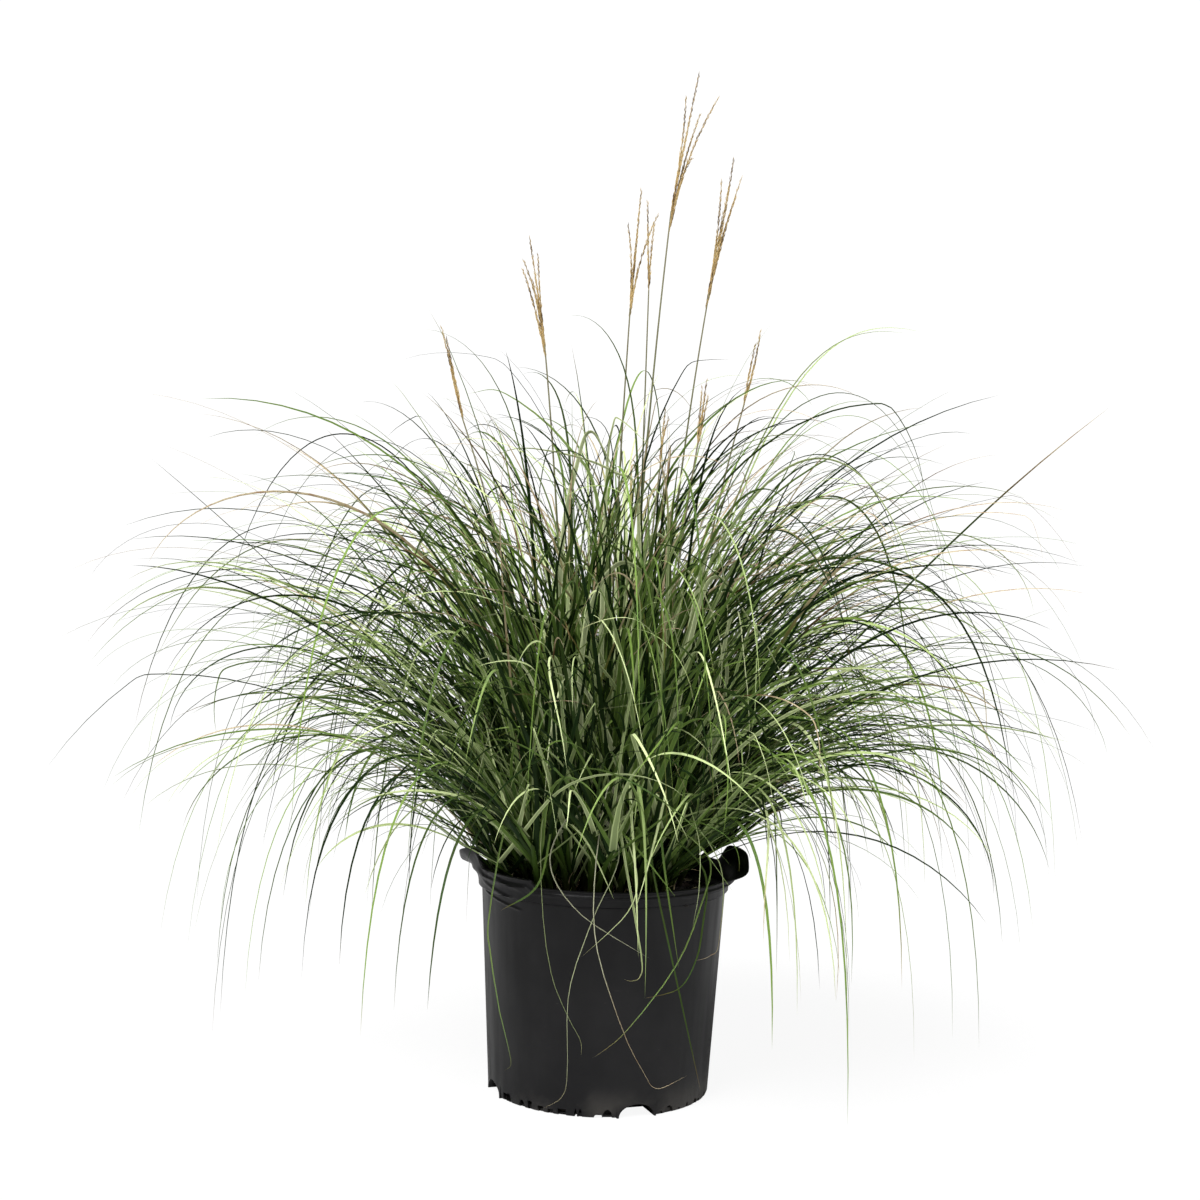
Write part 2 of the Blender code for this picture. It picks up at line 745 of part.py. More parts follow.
def build_pot(parts, cutters):
    """The nursery can, with its grips, drain arches and notches."""
    look = plastic_look("pot_plastic", (0.028, 0.026, 0.027), 0.42)
    pot = turned("nursery_pot", pot_profile(), parts, look, POT_SEGMENTS)
    raise_grips(pot.data)
    pot.data.shade_smooth()
    pot.data.set_sharp_from_angle(angle=math.radians(35.0))
    cutter = drain_cutters(cutters)
    cutter.hide_render = True
    cutter.display_type = "WIRE"
    cut = pot.modifiers.new("drain", "BOOLEAN")
    cut.operation = "DIFFERENCE"
    cut.solver = "EXACT"
    cut.object = cutter


def build_soil(parts):
    """The fill of potting soil, a hair clear of the can all round."""
    look = plastic_look("potting_soil", (0.016, 0.012, 0.009), 0.95)
    foot = POT_FLOOR + GAP
    shoulder = POT_HEIGHT - POT_BAND_HEIGHT - 0.003 - SOIL_EDGE_DROP
    profile = (
        (0.0, SOIL_TOP),
        (CROWN_RADIUS + 0.018, SOIL_TOP),
        (wall_radius(shoulder) - POT_WALL - GAP, shoulder),
        (wall_radius(FLOOR_CORNER) - POT_WALL - GAP, FLOOR_CORNER + GAP),
        (wall_radius(POT_FLOOR) - POT_WALL - 0.002 - 2.0 * GAP, foot),
        (0.0, foot),
    )
    turned("potting_soil", profile, parts, look, POT_SEGMENTS)


def main():
    """Clears the scene and builds the can, its soil, the tufts and the culms."""
    for thing in list(bpy.data.objects):
        bpy.data.objects.remove(thing)
    parts = bpy.data.collections.new("potted_maiden_grass")
    cutters = bpy.data.collections.new("cutters")
    bpy.context.scene.collection.children.link(parts)
    bpy.context.scene.collection.children.link(cutters)
    build_pot(parts, cutters)
    build_soil(parts)
    leaf_look = plastic_look("grass_leaf", (0.062, 0.105, 0.030), 0.50)
    culm_look = plastic_look("culm_straw", (0.33, 0.22, 0.09), 0.60)
    clump = lay_out()
    for index, (site, leaves) in enumerate(zip(clump.sites, clump.leaves, strict=True)):
        build_tuft(index + 1, site, leaves, parts, cutters, leaf_look)
    for index, culm in enumerate(clump.culms):
        build_culm(index + 1, culm, parts, cutters, culm_look)


if __name__ == "__main__":
    main()
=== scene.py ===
"""Looks of a potted maiden grass: fine arching blades, plumed culms, bark compost, a nursery can.

Metres, +Z up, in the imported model's own frame, with -Y towards the viewer. Every piece stands where
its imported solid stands: a tuft's blades grow round that tuft's solid leaves and reach their tips.
"""

import logging
import math
from dataclasses import dataclass, field
from enum import Enum
from functools import reduce
from itertools import pairwise

import bpy
import numpy as np
from mathutils import Matrix, Vector, noise


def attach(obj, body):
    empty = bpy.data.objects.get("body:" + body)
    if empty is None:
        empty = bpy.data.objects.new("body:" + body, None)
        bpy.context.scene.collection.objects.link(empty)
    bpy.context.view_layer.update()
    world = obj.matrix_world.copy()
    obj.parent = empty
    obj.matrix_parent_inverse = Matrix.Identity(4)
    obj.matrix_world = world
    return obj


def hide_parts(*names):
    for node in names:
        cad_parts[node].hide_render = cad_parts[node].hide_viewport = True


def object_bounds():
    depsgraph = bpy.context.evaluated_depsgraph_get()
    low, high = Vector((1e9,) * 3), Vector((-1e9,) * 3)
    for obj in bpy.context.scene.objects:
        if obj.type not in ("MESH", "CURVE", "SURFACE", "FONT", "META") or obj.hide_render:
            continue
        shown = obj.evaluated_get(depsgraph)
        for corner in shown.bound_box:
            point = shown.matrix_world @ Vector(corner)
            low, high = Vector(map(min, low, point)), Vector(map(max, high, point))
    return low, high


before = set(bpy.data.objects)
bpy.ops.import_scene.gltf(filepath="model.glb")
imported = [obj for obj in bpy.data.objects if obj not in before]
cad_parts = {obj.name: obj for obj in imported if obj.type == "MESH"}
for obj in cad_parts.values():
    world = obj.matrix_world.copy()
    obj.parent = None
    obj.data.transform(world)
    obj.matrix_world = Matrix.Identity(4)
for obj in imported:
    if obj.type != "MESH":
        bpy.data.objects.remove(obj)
packed_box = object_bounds()

LOG = logging.getLogger("potted_maiden_grass")
Colour = tuple[float, float, float]
Place = tuple[float, float, float]

BODY = "root"
PHOTO_SIDE = 1200
LAYOUT_SEED = 20
ARC_POINTS = 60


class Slot(Enum):
    """The record's material slots."""

    PLASTIC = "pot_plastic"
    SOIL = "potting_soil"
    LEAF = "grass_leaf"
    STRAW = "culm_straw"


class Habit(Enum):
    """How a leaf ends: past its highest point, or still climbing."""

    ARCHING = "arching"
    RISING = "rising"


class Form(Enum):
    """How a cutter or a filler is drawn: as a barrel that lies outwards, or as a block."""

    BARREL = "barrel"
    BLOCK = "block"


class Carving(Enum):
    """What carving does with its tools."""

    ADD = "UNION"
    CUT = "DIFFERENCE"


# Lines


def lengths_along(line: np.ndarray) -> np.ndarray:
    """Distance from the first point to each point, measured along the line."""
    steps = np.linalg.norm(np.diff(line, axis=0), axis=1)
    return np.concatenate(([0.0], np.cumsum(steps)))


def at_shares(line: np.ndarray, shares: np.ndarray | float) -> np.ndarray:
    """Points at shares of a line's length.

    Args:
        line: The line's points.
        shares: One share or several, from 0 at the start to 1 at the end.

    Returns:
        The point, or one row for each share.
    """
    along = lengths_along(line)
    wanted = np.asarray(shares, float) * along[-1]
    return np.stack([np.interp(wanted, along, line[:, axis]) for axis in range(3)], axis=-1)


def bent_points(start: np.ndarray, end: np.ndarray, upright: float, count: int = 16) -> np.ndarray:
    """Points of a stalk that leaves start straight up and bends over to end.

    Args:
        start: The stalk's foot.
        end: The stalk's top.
        upright: How high above the foot the bend's handle is.
        count: How many points.

    Returns:
        The points, foot first.
    """
    start, end = np.asarray(start, float), np.asarray(end, float)
    handle = start + np.array((0.0, 0.0, upright))
    t = np.linspace(0.0, 1.0, count)[:, None]
    return (1.0 - t) ** 2 * start + 2.0 * t * (1.0 - t) * handle + t**2 * end


def crest_height(ends: np.ndarray, middle: np.ndarray, low: float, peak: float) -> float:
    """Height of a curve's two middle handles for which its highest point is the peak.

    Args:
        ends: The part of each height that the two end points give.
        middle: The share of each height that the two middle handles give.
        low: A height that is too low.
        peak: The wanted highest point.

    Returns:
        The handles' height.
    """
    high = peak + 1.5
    for _ in range(40):
        crest = 0.5 * (low + high)
        if float(np.max(ends + middle * crest)) > peak:
            high = crest
        else:
            low = crest
    return crest


def arc_points(start: np.ndarray, tip: np.ndarray, peak: float, habit: Habit) -> np.ndarray:
    """Points along a leaf from its collar over its peak to its tip.

    Args:
        start: The leaf's collar.
        tip: The leaf's tip.
        peak: Height of the leaf's highest point, unused where it is still climbing.
        habit: Whether the leaf arches over or still climbs at its tip.

    Returns:
        The points, collar first.
    """
    across = tip[:2] - start[:2]
    run = max(float(np.hypot(across[0], across[1])), 0.001)
    t = np.linspace(0.0, 1.0, ARC_POINTS)
    early = 3.0 * (1.0 - t) ** 2 * t
    late = 3.0 * (1.0 - t) * t**2
    ends = (1.0 - t) ** 3 * start[2] + t**3 * tip[2]
    if habit is Habit.RISING:
        climb = tip[2] - start[2]
        heights = ends + early * (start[2] + 0.46 * climb) + late * (start[2] + 0.84 * climb)
        near, far = 0.22, 0.62
    else:
        crest = crest_height(ends, early + late, min(start[2], tip[2]), peak)
        heights = ends + (early + late) * crest
        droop = min(max((peak - tip[2]) / run, 0.0), 1.0)
        near, far = 0.34, 0.72 + 0.25 * droop
    outward = early * near + late * far + t**3
    return np.column_stack((start[:2] + np.outer(outward, across), heights))


def smooth_route(knots: np.ndarray, per_span: int = 12) -> np.ndarray:
    """A smooth line through every knot.

    Args:
        knots: The points that the line passes through.
        per_span: How many points it has between two knots.

    Returns:
        The line's points.
    """
    padded = np.vstack((2.0 * knots[0] - knots[1], knots, 2.0 * knots[-1] - knots[-2]))
    t = np.linspace(0.0, 1.0, per_span, endpoint=False)[:, None]
    spans = []
    for before, first, second, after in zip(padded, padded[1:], padded[2:], padded[3:]):
        leave, arrive = 0.5 * (second - before), 0.5 * (after - first)
        spans.append(
            (2.0 * t**3 - 3.0 * t**2 + 1.0) * first
            + (t**3 - 2.0 * t**2 + t) * leave
            + (3.0 * t**2 - 2.0 * t**3) * second
            + (t**3 - t**2) * arrive
        )
    return np.vstack((*spans, knots[-1]))


def carried_frame(line: np.ndarray, heading: Place | None = None) -> tuple[np.ndarray, np.ndarray]:
    """A sideways and an upward direction at each point, carried along without spinning.

    Args:
        line: The line's points.
        heading: Which way the first point's flat side looks, or the way to the line's end.

    Returns:
        The sideways directions and the upward ones, both at right angles to the line.
    """
    tangents = np.gradient(line, axis=0)
    tangents /= np.maximum(np.linalg.norm(tangents, axis=1), 1e-9)[:, None]
    heading = line[-1] - line[0] if heading is None else heading
    side = np.array((heading[1], -heading[0], 0.0))
    if np.hypot(side[0], side[1]) < 1e-4:
        side = np.array((0.0, -1.0, 0.0))
    sides = np.empty_like(line)
    for index, tangent in enumerate(tangents):
        side = side - (side @ tangent) * tangent
        side = side / max(float(np.linalg.norm(side)), 1e-9)
        sides[index] = side
    return sides, np.cross(sides, tangents)


def tube_points(line: np.ndarray, radii: np.ndarray, sides: int, flat: float = 1.0) -> np.ndarray:
    """Points of a round or flattened tube along a line, ring after ring.

    Args:
        line: The tube's middle.
        radii: Half the tube's width at each point of the line.
        sides: How many points a ring has.
        flat: The tube's thickness as a share of its width.

    Returns:
        The points, one a row.
    """
    side, upper = carried_frame(line)
    angles = np.linspace(0.0, 2.0 * math.pi, sides, endpoint=False)[None, :, None]
    ring = np.cos(angles) * side[:, None, :] - flat * np.sin(angles) * upper[:, None, :]
    return (line[:, None, :] + radii[:, None, None] * ring).reshape(-1, 3)


def swayed(rng: np.random.Generator, line: np.ndarray, most: float) -> np.ndarray:
    """A line with a slow sideways sway that grows towards its tip.

    Args:
        rng: The random numbers to draw the sway from.
        line: The straight-grown line.
        most: How far it usually sways at its tip.

    Returns:
        The swayed line.
    """
    side, _ = carried_frame(line)
    shares = np.linspace(0.0, 1.0, len(line))
    wave = np.sin(shares * math.pi * rng.uniform(0.8, 2.2) + rng.uniform(-0.6, 0.6)) * shares**1.2
    return line + side * (rng.normal(0.0, most) * wave)[:, None]


def metres(places: tuple | float) -> np.ndarray:
    """Places or sizes that are written down in millimetres, in metres."""
    return np.array(places) / 1000.0


# Blender helpers


def deselect_all() -> None:
    """Leaves object mode with nothing selected."""
    if bpy.context.object and bpy.context.object.mode != "OBJECT":
        bpy.ops.object.mode_set(mode="OBJECT")
    bpy.ops.object.select_all(action="DESELECT")


def select_only(*things: bpy.types.Object) -> None:
    """Selects these objects alone.

    Args:
        things: The objects, first the one that becomes active.
    """
    deselect_all()
    for thing in things:
        thing.select_set(True)
    bpy.context.view_layer.objects.active = things[0]


def apply_place(thing: bpy.types.Object) -> None:
    """Moves an object's place, turn and scale into its mesh."""
    select_only(thing)
    bpy.ops.object.transform_apply(location=True, rotation=True, scale=True)


def smooth_by_angle(thing: bpy.types.Object, degrees: float) -> None:
    """Shades an object smooth but for edges sharper than an angle."""
    select_only(thing)
    bpy.ops.object.shade_smooth_by_angle(angle=math.radians(degrees))


def corners_of(thing: bpy.types.Object) -> np.ndarray:
    """Reads where a mesh's vertices are.

    Args:
        thing: The object that has the mesh.

    Returns:
        The places, one a row.
    """
    places = np.empty(len(thing.data.vertices) * 3)
    thing.data.vertices.foreach_get("co", places)
    return places.reshape(-1, 3)


def put_corners(thing: bpy.types.Object, places: np.ndarray) -> None:
    """Moves a mesh's vertices to new places."""
    thing.data.vertices.foreach_set("co", places.ravel())
    thing.data.update()


def draw_on(rise: float, ratio: float, height: float) -> None:
    """Extrudes the selected ring by a rise, and resizes the new ring about the can's axis."""
    bpy.ops.mesh.extrude_region_move(TRANSFORM_OT_translate={"value": (0.0, 0.0, rise)})
    bpy.ops.transform.resize(value=(ratio, ratio, 1.0), center_override=(0.0, 0.0, height))


def add_form(form: Form, turn: float, low: Place, high: Place) -> bpy.types.Object:
    """Adds a barrel or a block between two corners, turned about the can's axis.

    Args:
        form: Which of the two it is.
        turn: Its azimuth in degrees.
        low: Its lowest radius, aside and height.
        high: Its highest radius, aside and height.

    Returns:
        The new object.
    """
    deselect_all()
    if form is Form.BARREL:
        lying = (0.0, math.pi / 2, 0.0)
        bpy.ops.mesh.primitive_cylinder_add(vertices=48, radius=1.0, depth=2.0, rotation=lying)
    else:
        bpy.ops.mesh.primitive_cube_add(size=2.0)
    thing = bpy.context.active_object
    bpy.ops.object.transform_apply(location=True, rotation=True, scale=True)
    middle = 0.5 * (np.array(low) + np.array(high))
    size = 0.5 * (np.array(high) - np.array(low))
    about = Matrix.Rotation(math.radians(turn), 4, "Z")
    thing.matrix_world = about @ Matrix.Translation(middle) @ Matrix.Diagonal((*size, 1.0))
    apply_place(thing)
    return thing


def carve(thing: bpy.types.Object, carving: Carving, tools: list[bpy.types.Object]) -> None:
    """Joins tools to a piece, or cuts them out of it, and removes them.

    Args:
        thing: The piece.
        carving: Whether the tools are added or cut.
        tools: The bodies that it is carved with.
    """
    select_only(*tools)
    bpy.ops.object.join()
    tool = bpy.context.active_object
    boolean = thing.modifiers.new("carving", "BOOLEAN")
    boolean.operation = carving.value
    boolean.solver = "EXACT"
    boolean.use_self = True
    boolean.object = tool
    select_only(thing)
    bpy.ops.object.modifier_apply(modifier=boolean.name)
    bpy.data.objects.remove(tool)


def dress(thing: bpy.types.Object, material: bpy.types.Material, slot: Slot, *nodes: str) -> None:
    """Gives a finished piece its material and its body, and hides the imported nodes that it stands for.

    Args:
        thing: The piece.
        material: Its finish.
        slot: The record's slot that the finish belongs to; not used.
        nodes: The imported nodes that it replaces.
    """
    thing.data.materials.clear()
    thing.data.materials.append(material)
    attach(thing, BODY)
    if nodes:
        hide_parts(*nodes)
    LOG.info("%s: %d faces", thing.name, len(thing.data.polygons))


class JoinedMesh:
    """Many small shapes gathered from arrays into one mesh, with a value of each kind at each point."""

    def __init__(self, *kinds: str) -> None:
        """Starts an empty mesh.

        Args:
            kinds: Names of the attributes that its materials read.
        """
        self.kinds = kinds
        self.points: list[np.ndarray] = []
        self.faces: list[tuple[int, ...]] = []
        self.values: dict[str, list[np.ndarray]] = {kind: [] for kind in kinds}
        self.count = 0

    def add(self, points: np.ndarray, faces: list[tuple[int, ...]], **values: np.ndarray | float) -> None:
        """Adds a shape.

        Args:
            points: The shape's own points.
            faces: Its faces, as numbers of its own points.
            values: One number, or one for each point, for every kind.
        """
        start = self.count
        self.points.append(points)
        self.faces += [tuple(corner + start for corner in face) for face in faces]
        for kind in self.kinds:
            self.values[kind].append(np.broadcast_to(values[kind], len(points)).astype(float))
        self.count += len(points)

    def to_object(self, name: str, sharp_from: float = 50.0) -> bpy.types.Object:
        """Makes the object.

        Args:
            name: The piece's name.
            sharp_from: Edges sharper than this angle in degrees are shaded sharp.

        Returns:
            The new object.
        """
        mesh = bpy.data.meshes.new(name)
        mesh.from_pydata(np.vstack(self.points).tolist(), [], self.faces)
        for kind in self.kinds:
            layer = mesh.attributes.new(kind, "FLOAT", "POINT")
            layer.data.foreach_set("value", np.concatenate(self.values[kind]))
        mesh.shade_smooth()
        mesh.set_sharp_from_angle(angle=math.radians(sharp_from))
        thing = bpy.data.objects.new(name, mesh)
        bpy.context.scene.collection.objects.link(thing)
        return thing


def ring_faces(rings: int, sides: int, pointed: bool) -> list[tuple[int, ...]]:
    """Faces of a closed sweep of rings, which ends in one point or in a cap.

    Args:
        rings: How many rings it has.
        sides: How many points a ring has.
        pointed: Whether one more point follows the last ring.

    Returns:
        The faces, pointing outwards where each ring turns to the left about the way it goes.
    """
    faces = [tuple(range(sides))[::-1]]
    for ring in range(rings - 1):
        for corner in range(sides):
            near, far = ring * sides + corner, ring * sides + (corner + 1) % sides
            faces.append((near, far, far + sides, near + sides))
    last = (rings - 1) * sides
    if pointed:
        faces += [(last + corner, last + (corner + 1) % sides, last + sides) for corner in range(sides)]
    else:
        faces.append(tuple(range(last, last + sides)))
    return faces


# Node trees


class NodeSheet:
    """The node tree of one material, filled by short calls."""

    def __init__(self, name: str) -> None:
        """Starts a material with an empty tree.

        Args:
            name: The finish's plain name.
        """
        self.material = bpy.data.materials.new(name)
        self.material.use_nodes = True
        self.tree = self.material.node_tree
        self.tree.nodes.clear()

    def add(self, kind: str, sockets: dict | None = None, **settings: object) -> bpy.types.Node:
        """Adds a node.

        Args:
            kind: The node's type.
            sockets: Values or links for its inputs, by name or number.
            settings: Its properties.

        Returns:
            The node.
        """
        node = self.tree.nodes.new(kind)
        for name, value in settings.items():
            setattr(node, name, value)
        for key, value in (sockets or {}).items():
            if isinstance(value, bpy.types.NodeSocket):
                self.tree.links.new(value, node.inputs[key])
            else:
                node.inputs[key].default_value = value
        return node

    def value_of(self, attribute: str) -> bpy.types.NodeSocket:
        """A value that the mesh stores at its points."""
        return self.add("ShaderNodeAttribute", attribute_name=attribute).outputs["Fac"]

    def place(self) -> bpy.types.NodeSocket:
        """The point's place in the object, in metres."""
        return self.add("ShaderNodeTexCoord").outputs["Object"]

    def stretched(self, vector: bpy.types.NodeSocket, scale: Place) -> bpy.types.NodeSocket:
        """A place multiplied axis by axis, to draw a pattern out."""
        return self.add("ShaderNodeMapping", {"Vector": vector, "Scale": scale}).outputs["Vector"]

    def cloud(
        self, vector: bpy.types.NodeSocket, scale: float, detail: float = 3.0, rough: float = 0.55
    ) -> bpy.types.NodeSocket:
        """Soft noise from 0 to 1, with so many blotches in a unit and so many finer layers."""
        sockets = {"Vector": vector, "Scale": scale, "Detail": detail, "Roughness": rough}
        return self.add("ShaderNodeTexNoise", sockets).outputs["Fac"]

    def ramp(
        self, value: bpy.types.NodeSocket, start: float, stop: float, low: float = 0.0, high: float = 1.0
    ) -> bpy.types.NodeSocket:
        """A value eased from low at start to high at stop.

        Args:
            value: What is read.
            start: Where the change starts.
            stop: Where it ends.
            low: The result up to the start.
            high: The result from the stop on.

        Returns:
            The eased value.
        """
        sockets = {"Value": value, "From Min": start, "From Max": stop, "To Min": low, "To Max": high}
        node = self.add("ShaderNodeMapRange", sockets, interpolation_type="SMOOTHSTEP")
        return node.outputs["Result"]

    def plus(self, first: object, second: object) -> bpy.types.NodeSocket:
        """Two numbers added."""
        return self.add("ShaderNodeMath", {0: first, 1: second}, operation="ADD").outputs[0]

    def times(self, first: object, second: object) -> bpy.types.NodeSocket:
        """Two numbers multiplied."""
        return self.add("ShaderNodeMath", {0: first, 1: second}, operation="MULTIPLY").outputs[0]

    def product(self, *factors: object) -> bpy.types.NodeSocket:
        """Any number of factors multiplied, from the left."""
        return reduce(self.times, factors)

    def blend(self, share: object, first: object, second: object) -> bpy.types.NodeSocket:
        """Two colours mixed by a share.

        Args:
            share: From 0, all the first, to 1, all the second.
            first: A colour or a link.
            second: A colour or a link.

        Returns:
            The mixed colour.
        """
        first = (*first, 1.0) if isinstance(first, tuple) else first
        second = (*second, 1.0) if isinstance(second, tuple) else second
        sockets = {0: share, 6: first, 7: second}
        return self.add("ShaderNodeMix", sockets, data_type="RGBA").outputs[2]

    def bumped(self, height: bpy.types.NodeSocket, strength: float, depth: float) -> bpy.types.NodeSocket:
        """The surface's direction, roughened by a height in metres."""
        sockets = {"Height": height, "Strength": strength, "Distance": depth}
        return self.add("ShaderNodeBump", sockets).outputs["Normal"]

    def finish(self, sockets: dict, glow: tuple[float, object] | None = None) -> bpy.types.Material:
        """Ends the tree with its shader.

        Args:
            sockets: The shader's inputs.
            glow: The share and colour of light that passes through the surface.

        Returns:
            The material.
        """
        surface = self.add("ShaderNodeBsdfPrincipled", sockets).outputs["BSDF"]
        if glow:
            through = self.add("ShaderNodeBsdfTranslucent", {"Color": glow[1]}).outputs["BSDF"]
            surface = self.add("ShaderNodeMixShader", {0: glow[0], 1: surface, 2: through}).outputs[0]
        self.add("ShaderNodeOutputMaterial", {"Surface": surface})
        return self.material


# Finishes


@dataclass(frozen=True)
class GrassFinish:
    """Green blades with a pale midrib and dry tips, on sheaths that darken towards the foot."""

    deep: Colour = (0.004, 0.016, 0.002)
    fresh: Colour = (0.215, 0.350, 0.062)
    # Pale is partly the colour of paler blades and partly a painted sheen that stands in for the shine of
    # glossy blades
    pale: Colour = (0.820, 0.920, 0.490)
    bleached: Colour = (0.720, 0.690, 0.530)
    bluish: Colour = (0.035, 0.140, 0.060)
    under: Colour = (0.045, 0.085, 0.018)
    midrib: Colour = (0.380, 0.500, 0.170)
    sheath: Colour = (0.045, 0.085, 0.014)
    foot: Colour = (0.018, 0.010, 0.005)
    straw: Colour = (0.560, 0.470, 0.300)
    rust: Colour = (0.270, 0.115, 0.050)
    sheen: float = 0.06
    shining_through: float = 0.16

    def material(self) -> bpy.types.Material:
        """Builds the finish from a blade's tone, dryness, place along it and place across it.

        Along is 0 at the collar, 1 at the tip and below 0 on the sheath. Across, or rib, is 1 and -1 on
        the midrib's two faces and 0 at the edges.

        Returns:
            The material.
        """
        sheet = NodeSheet("grass_blade")
        tone, dryness = sheet.value_of("tone"), sheet.value_of("dryness")
        along, rib = sheet.value_of("along"), sheet.value_of("rib")
        place, light = sheet.place(), sheet.ramp(tone, 0.10, 0.75, 0.12, 1.0)
        # Greens by tone, paler where they are new and where painted sheen stands in for shine, then bleached,
        # with bluish patches
        green = sheet.blend(sheet.ramp(tone, 0.16, 0.80), self.deep, self.fresh)
        patches = sheet.cloud(place, 16.0)
        bluish = sheet.product(sheet.ramp(patches, 0.50, 0.68, 0.0, 0.45), light)
        green = sheet.blend(bluish, green, self.bluish)
        # Painted sheen: high tones blend towards pale
        green = sheet.blend(sheet.ramp(tone, 0.70, 1.0), green, self.pale)
        green = sheet.blend(sheet.ramp(tone, 1.0, 1.2), green, self.bleached)
        # The under side, the veins, the midrib and the pale edges
        under = sheet.product(sheet.ramp(rib, -0.05, -0.5, 0.0, 0.60), light)
        green = sheet.blend(under, green, self.under)
        veins_place = sheet.add("ShaderNodeCombineXYZ", {"X": rib, "Y": along, "Z": tone})
        veins = sheet.cloud(sheet.stretched(veins_place.outputs[0], (9.0, 2.5, 60.0)), 1.0, 2.0)
        vein = sheet.product(sheet.ramp(veins, 0.40, 0.80, 0.0, 0.25), light)
        green = sheet.blend(vein, green, self.midrib)
        stripe = sheet.product(sheet.ramp(rib, 0.66, 0.88), sheet.ramp(along, 0.0, 0.9, 0.6, 0.1), light)
        green = sheet.blend(stripe, green, self.midrib)
        edge = sheet.product(sheet.ramp(rib, 0.24, 0.05), sheet.ramp(rib, -0.12, -0.02), 0.50, light)
        green = sheet.blend(edge, green, self.midrib)
        # Painted shade at the collar, darker towards a blade's foot where the tuft shades it, then the
        # sheath, then rust and straw from a dry tip down
        green = sheet.blend(sheet.ramp(along, 0.10, 0.0, 0.0, 0.25), green, self.deep)
        green = sheet.blend(sheet.ramp(along, 0.0, -0.12), green, self.sheath)
        green = sheet.blend(sheet.ramp(along, -0.55, -1.0, 0.0, 0.9), green, self.foot)
        age = sheet.plus(along, dryness)
        flecks = sheet.cloud(place, 120.0, 2.0)
        straw = sheet.blend(sheet.ramp(flecks, 0.45, 0.7, 0.0, 0.6), self.straw, self.rust)
        colour = sheet.blend(sheet.ramp(age, 0.84, 0.98, 0.0, 0.45), green, self.rust)
        colour = sheet.blend(sheet.ramp(age, 0.94, 1.08), colour, straw)
        sockets = {
            "Base Color": colour,
            "Roughness": sheet.ramp(veins, 0.3, 0.7, 0.40, 0.55),
            "Specular IOR Level": self.sheen,
            "Normal": sheet.bumped(veins, 0.25, 0.0004),
        }
        return sheet.finish(sockets, (self.shining_through, colour))


@dataclass(frozen=True)
class StrawFinish:
    """Culms that turn from green to straw, and golden-brown spikelets."""

    stalk: Colour = (0.110, 0.135, 0.055)
    ripe: Colour = (0.210, 0.200, 0.115)
    gold: Colour = (0.540, 0.390, 0.170)
    tan: Colour = (0.360, 0.235, 0.090)
    brown: Colour = (0.080, 0.040, 0.015)
    sheen: float = 0.3

    def material(self) -> bpy.types.Material:
        """Builds the finish from a point's place along the culm, its tone and whether it is a husk.

        Returns:
            The material.
        """
        sheet = NodeSheet("plume_straw")
        tone, along, husk = sheet.value_of("tone"), sheet.value_of("along"), sheet.value_of("husk")
        place = sheet.place()
        stalk = sheet.blend(sheet.ramp(along, 0.55, 0.98), self.stalk, self.ripe)
        fibres = sheet.cloud(sheet.stretched(place, (900.0, 900.0, 25.0)), 1.0, 2.0)
        stalk = sheet.blend(sheet.ramp(fibres, 0.4, 0.7, 0.0, 0.35), stalk, self.brown)
        grain = sheet.blend(sheet.ramp(tone, 0.2, 0.9), self.tan, self.gold)
        grain = sheet.blend(sheet.ramp(tone, 0.24, 0.10), grain, self.brown)
        sockets = {
            "Base Color": sheet.blend(husk, stalk, grain),
            "Roughness": sheet.ramp(fibres, 0.3, 0.7, 0.5, 0.7),
            "Specular IOR Level": self.sheen,
            "Normal": sheet.bumped(fibres, 0.3, 0.0003),
        }
        return sheet.finish(sockets)


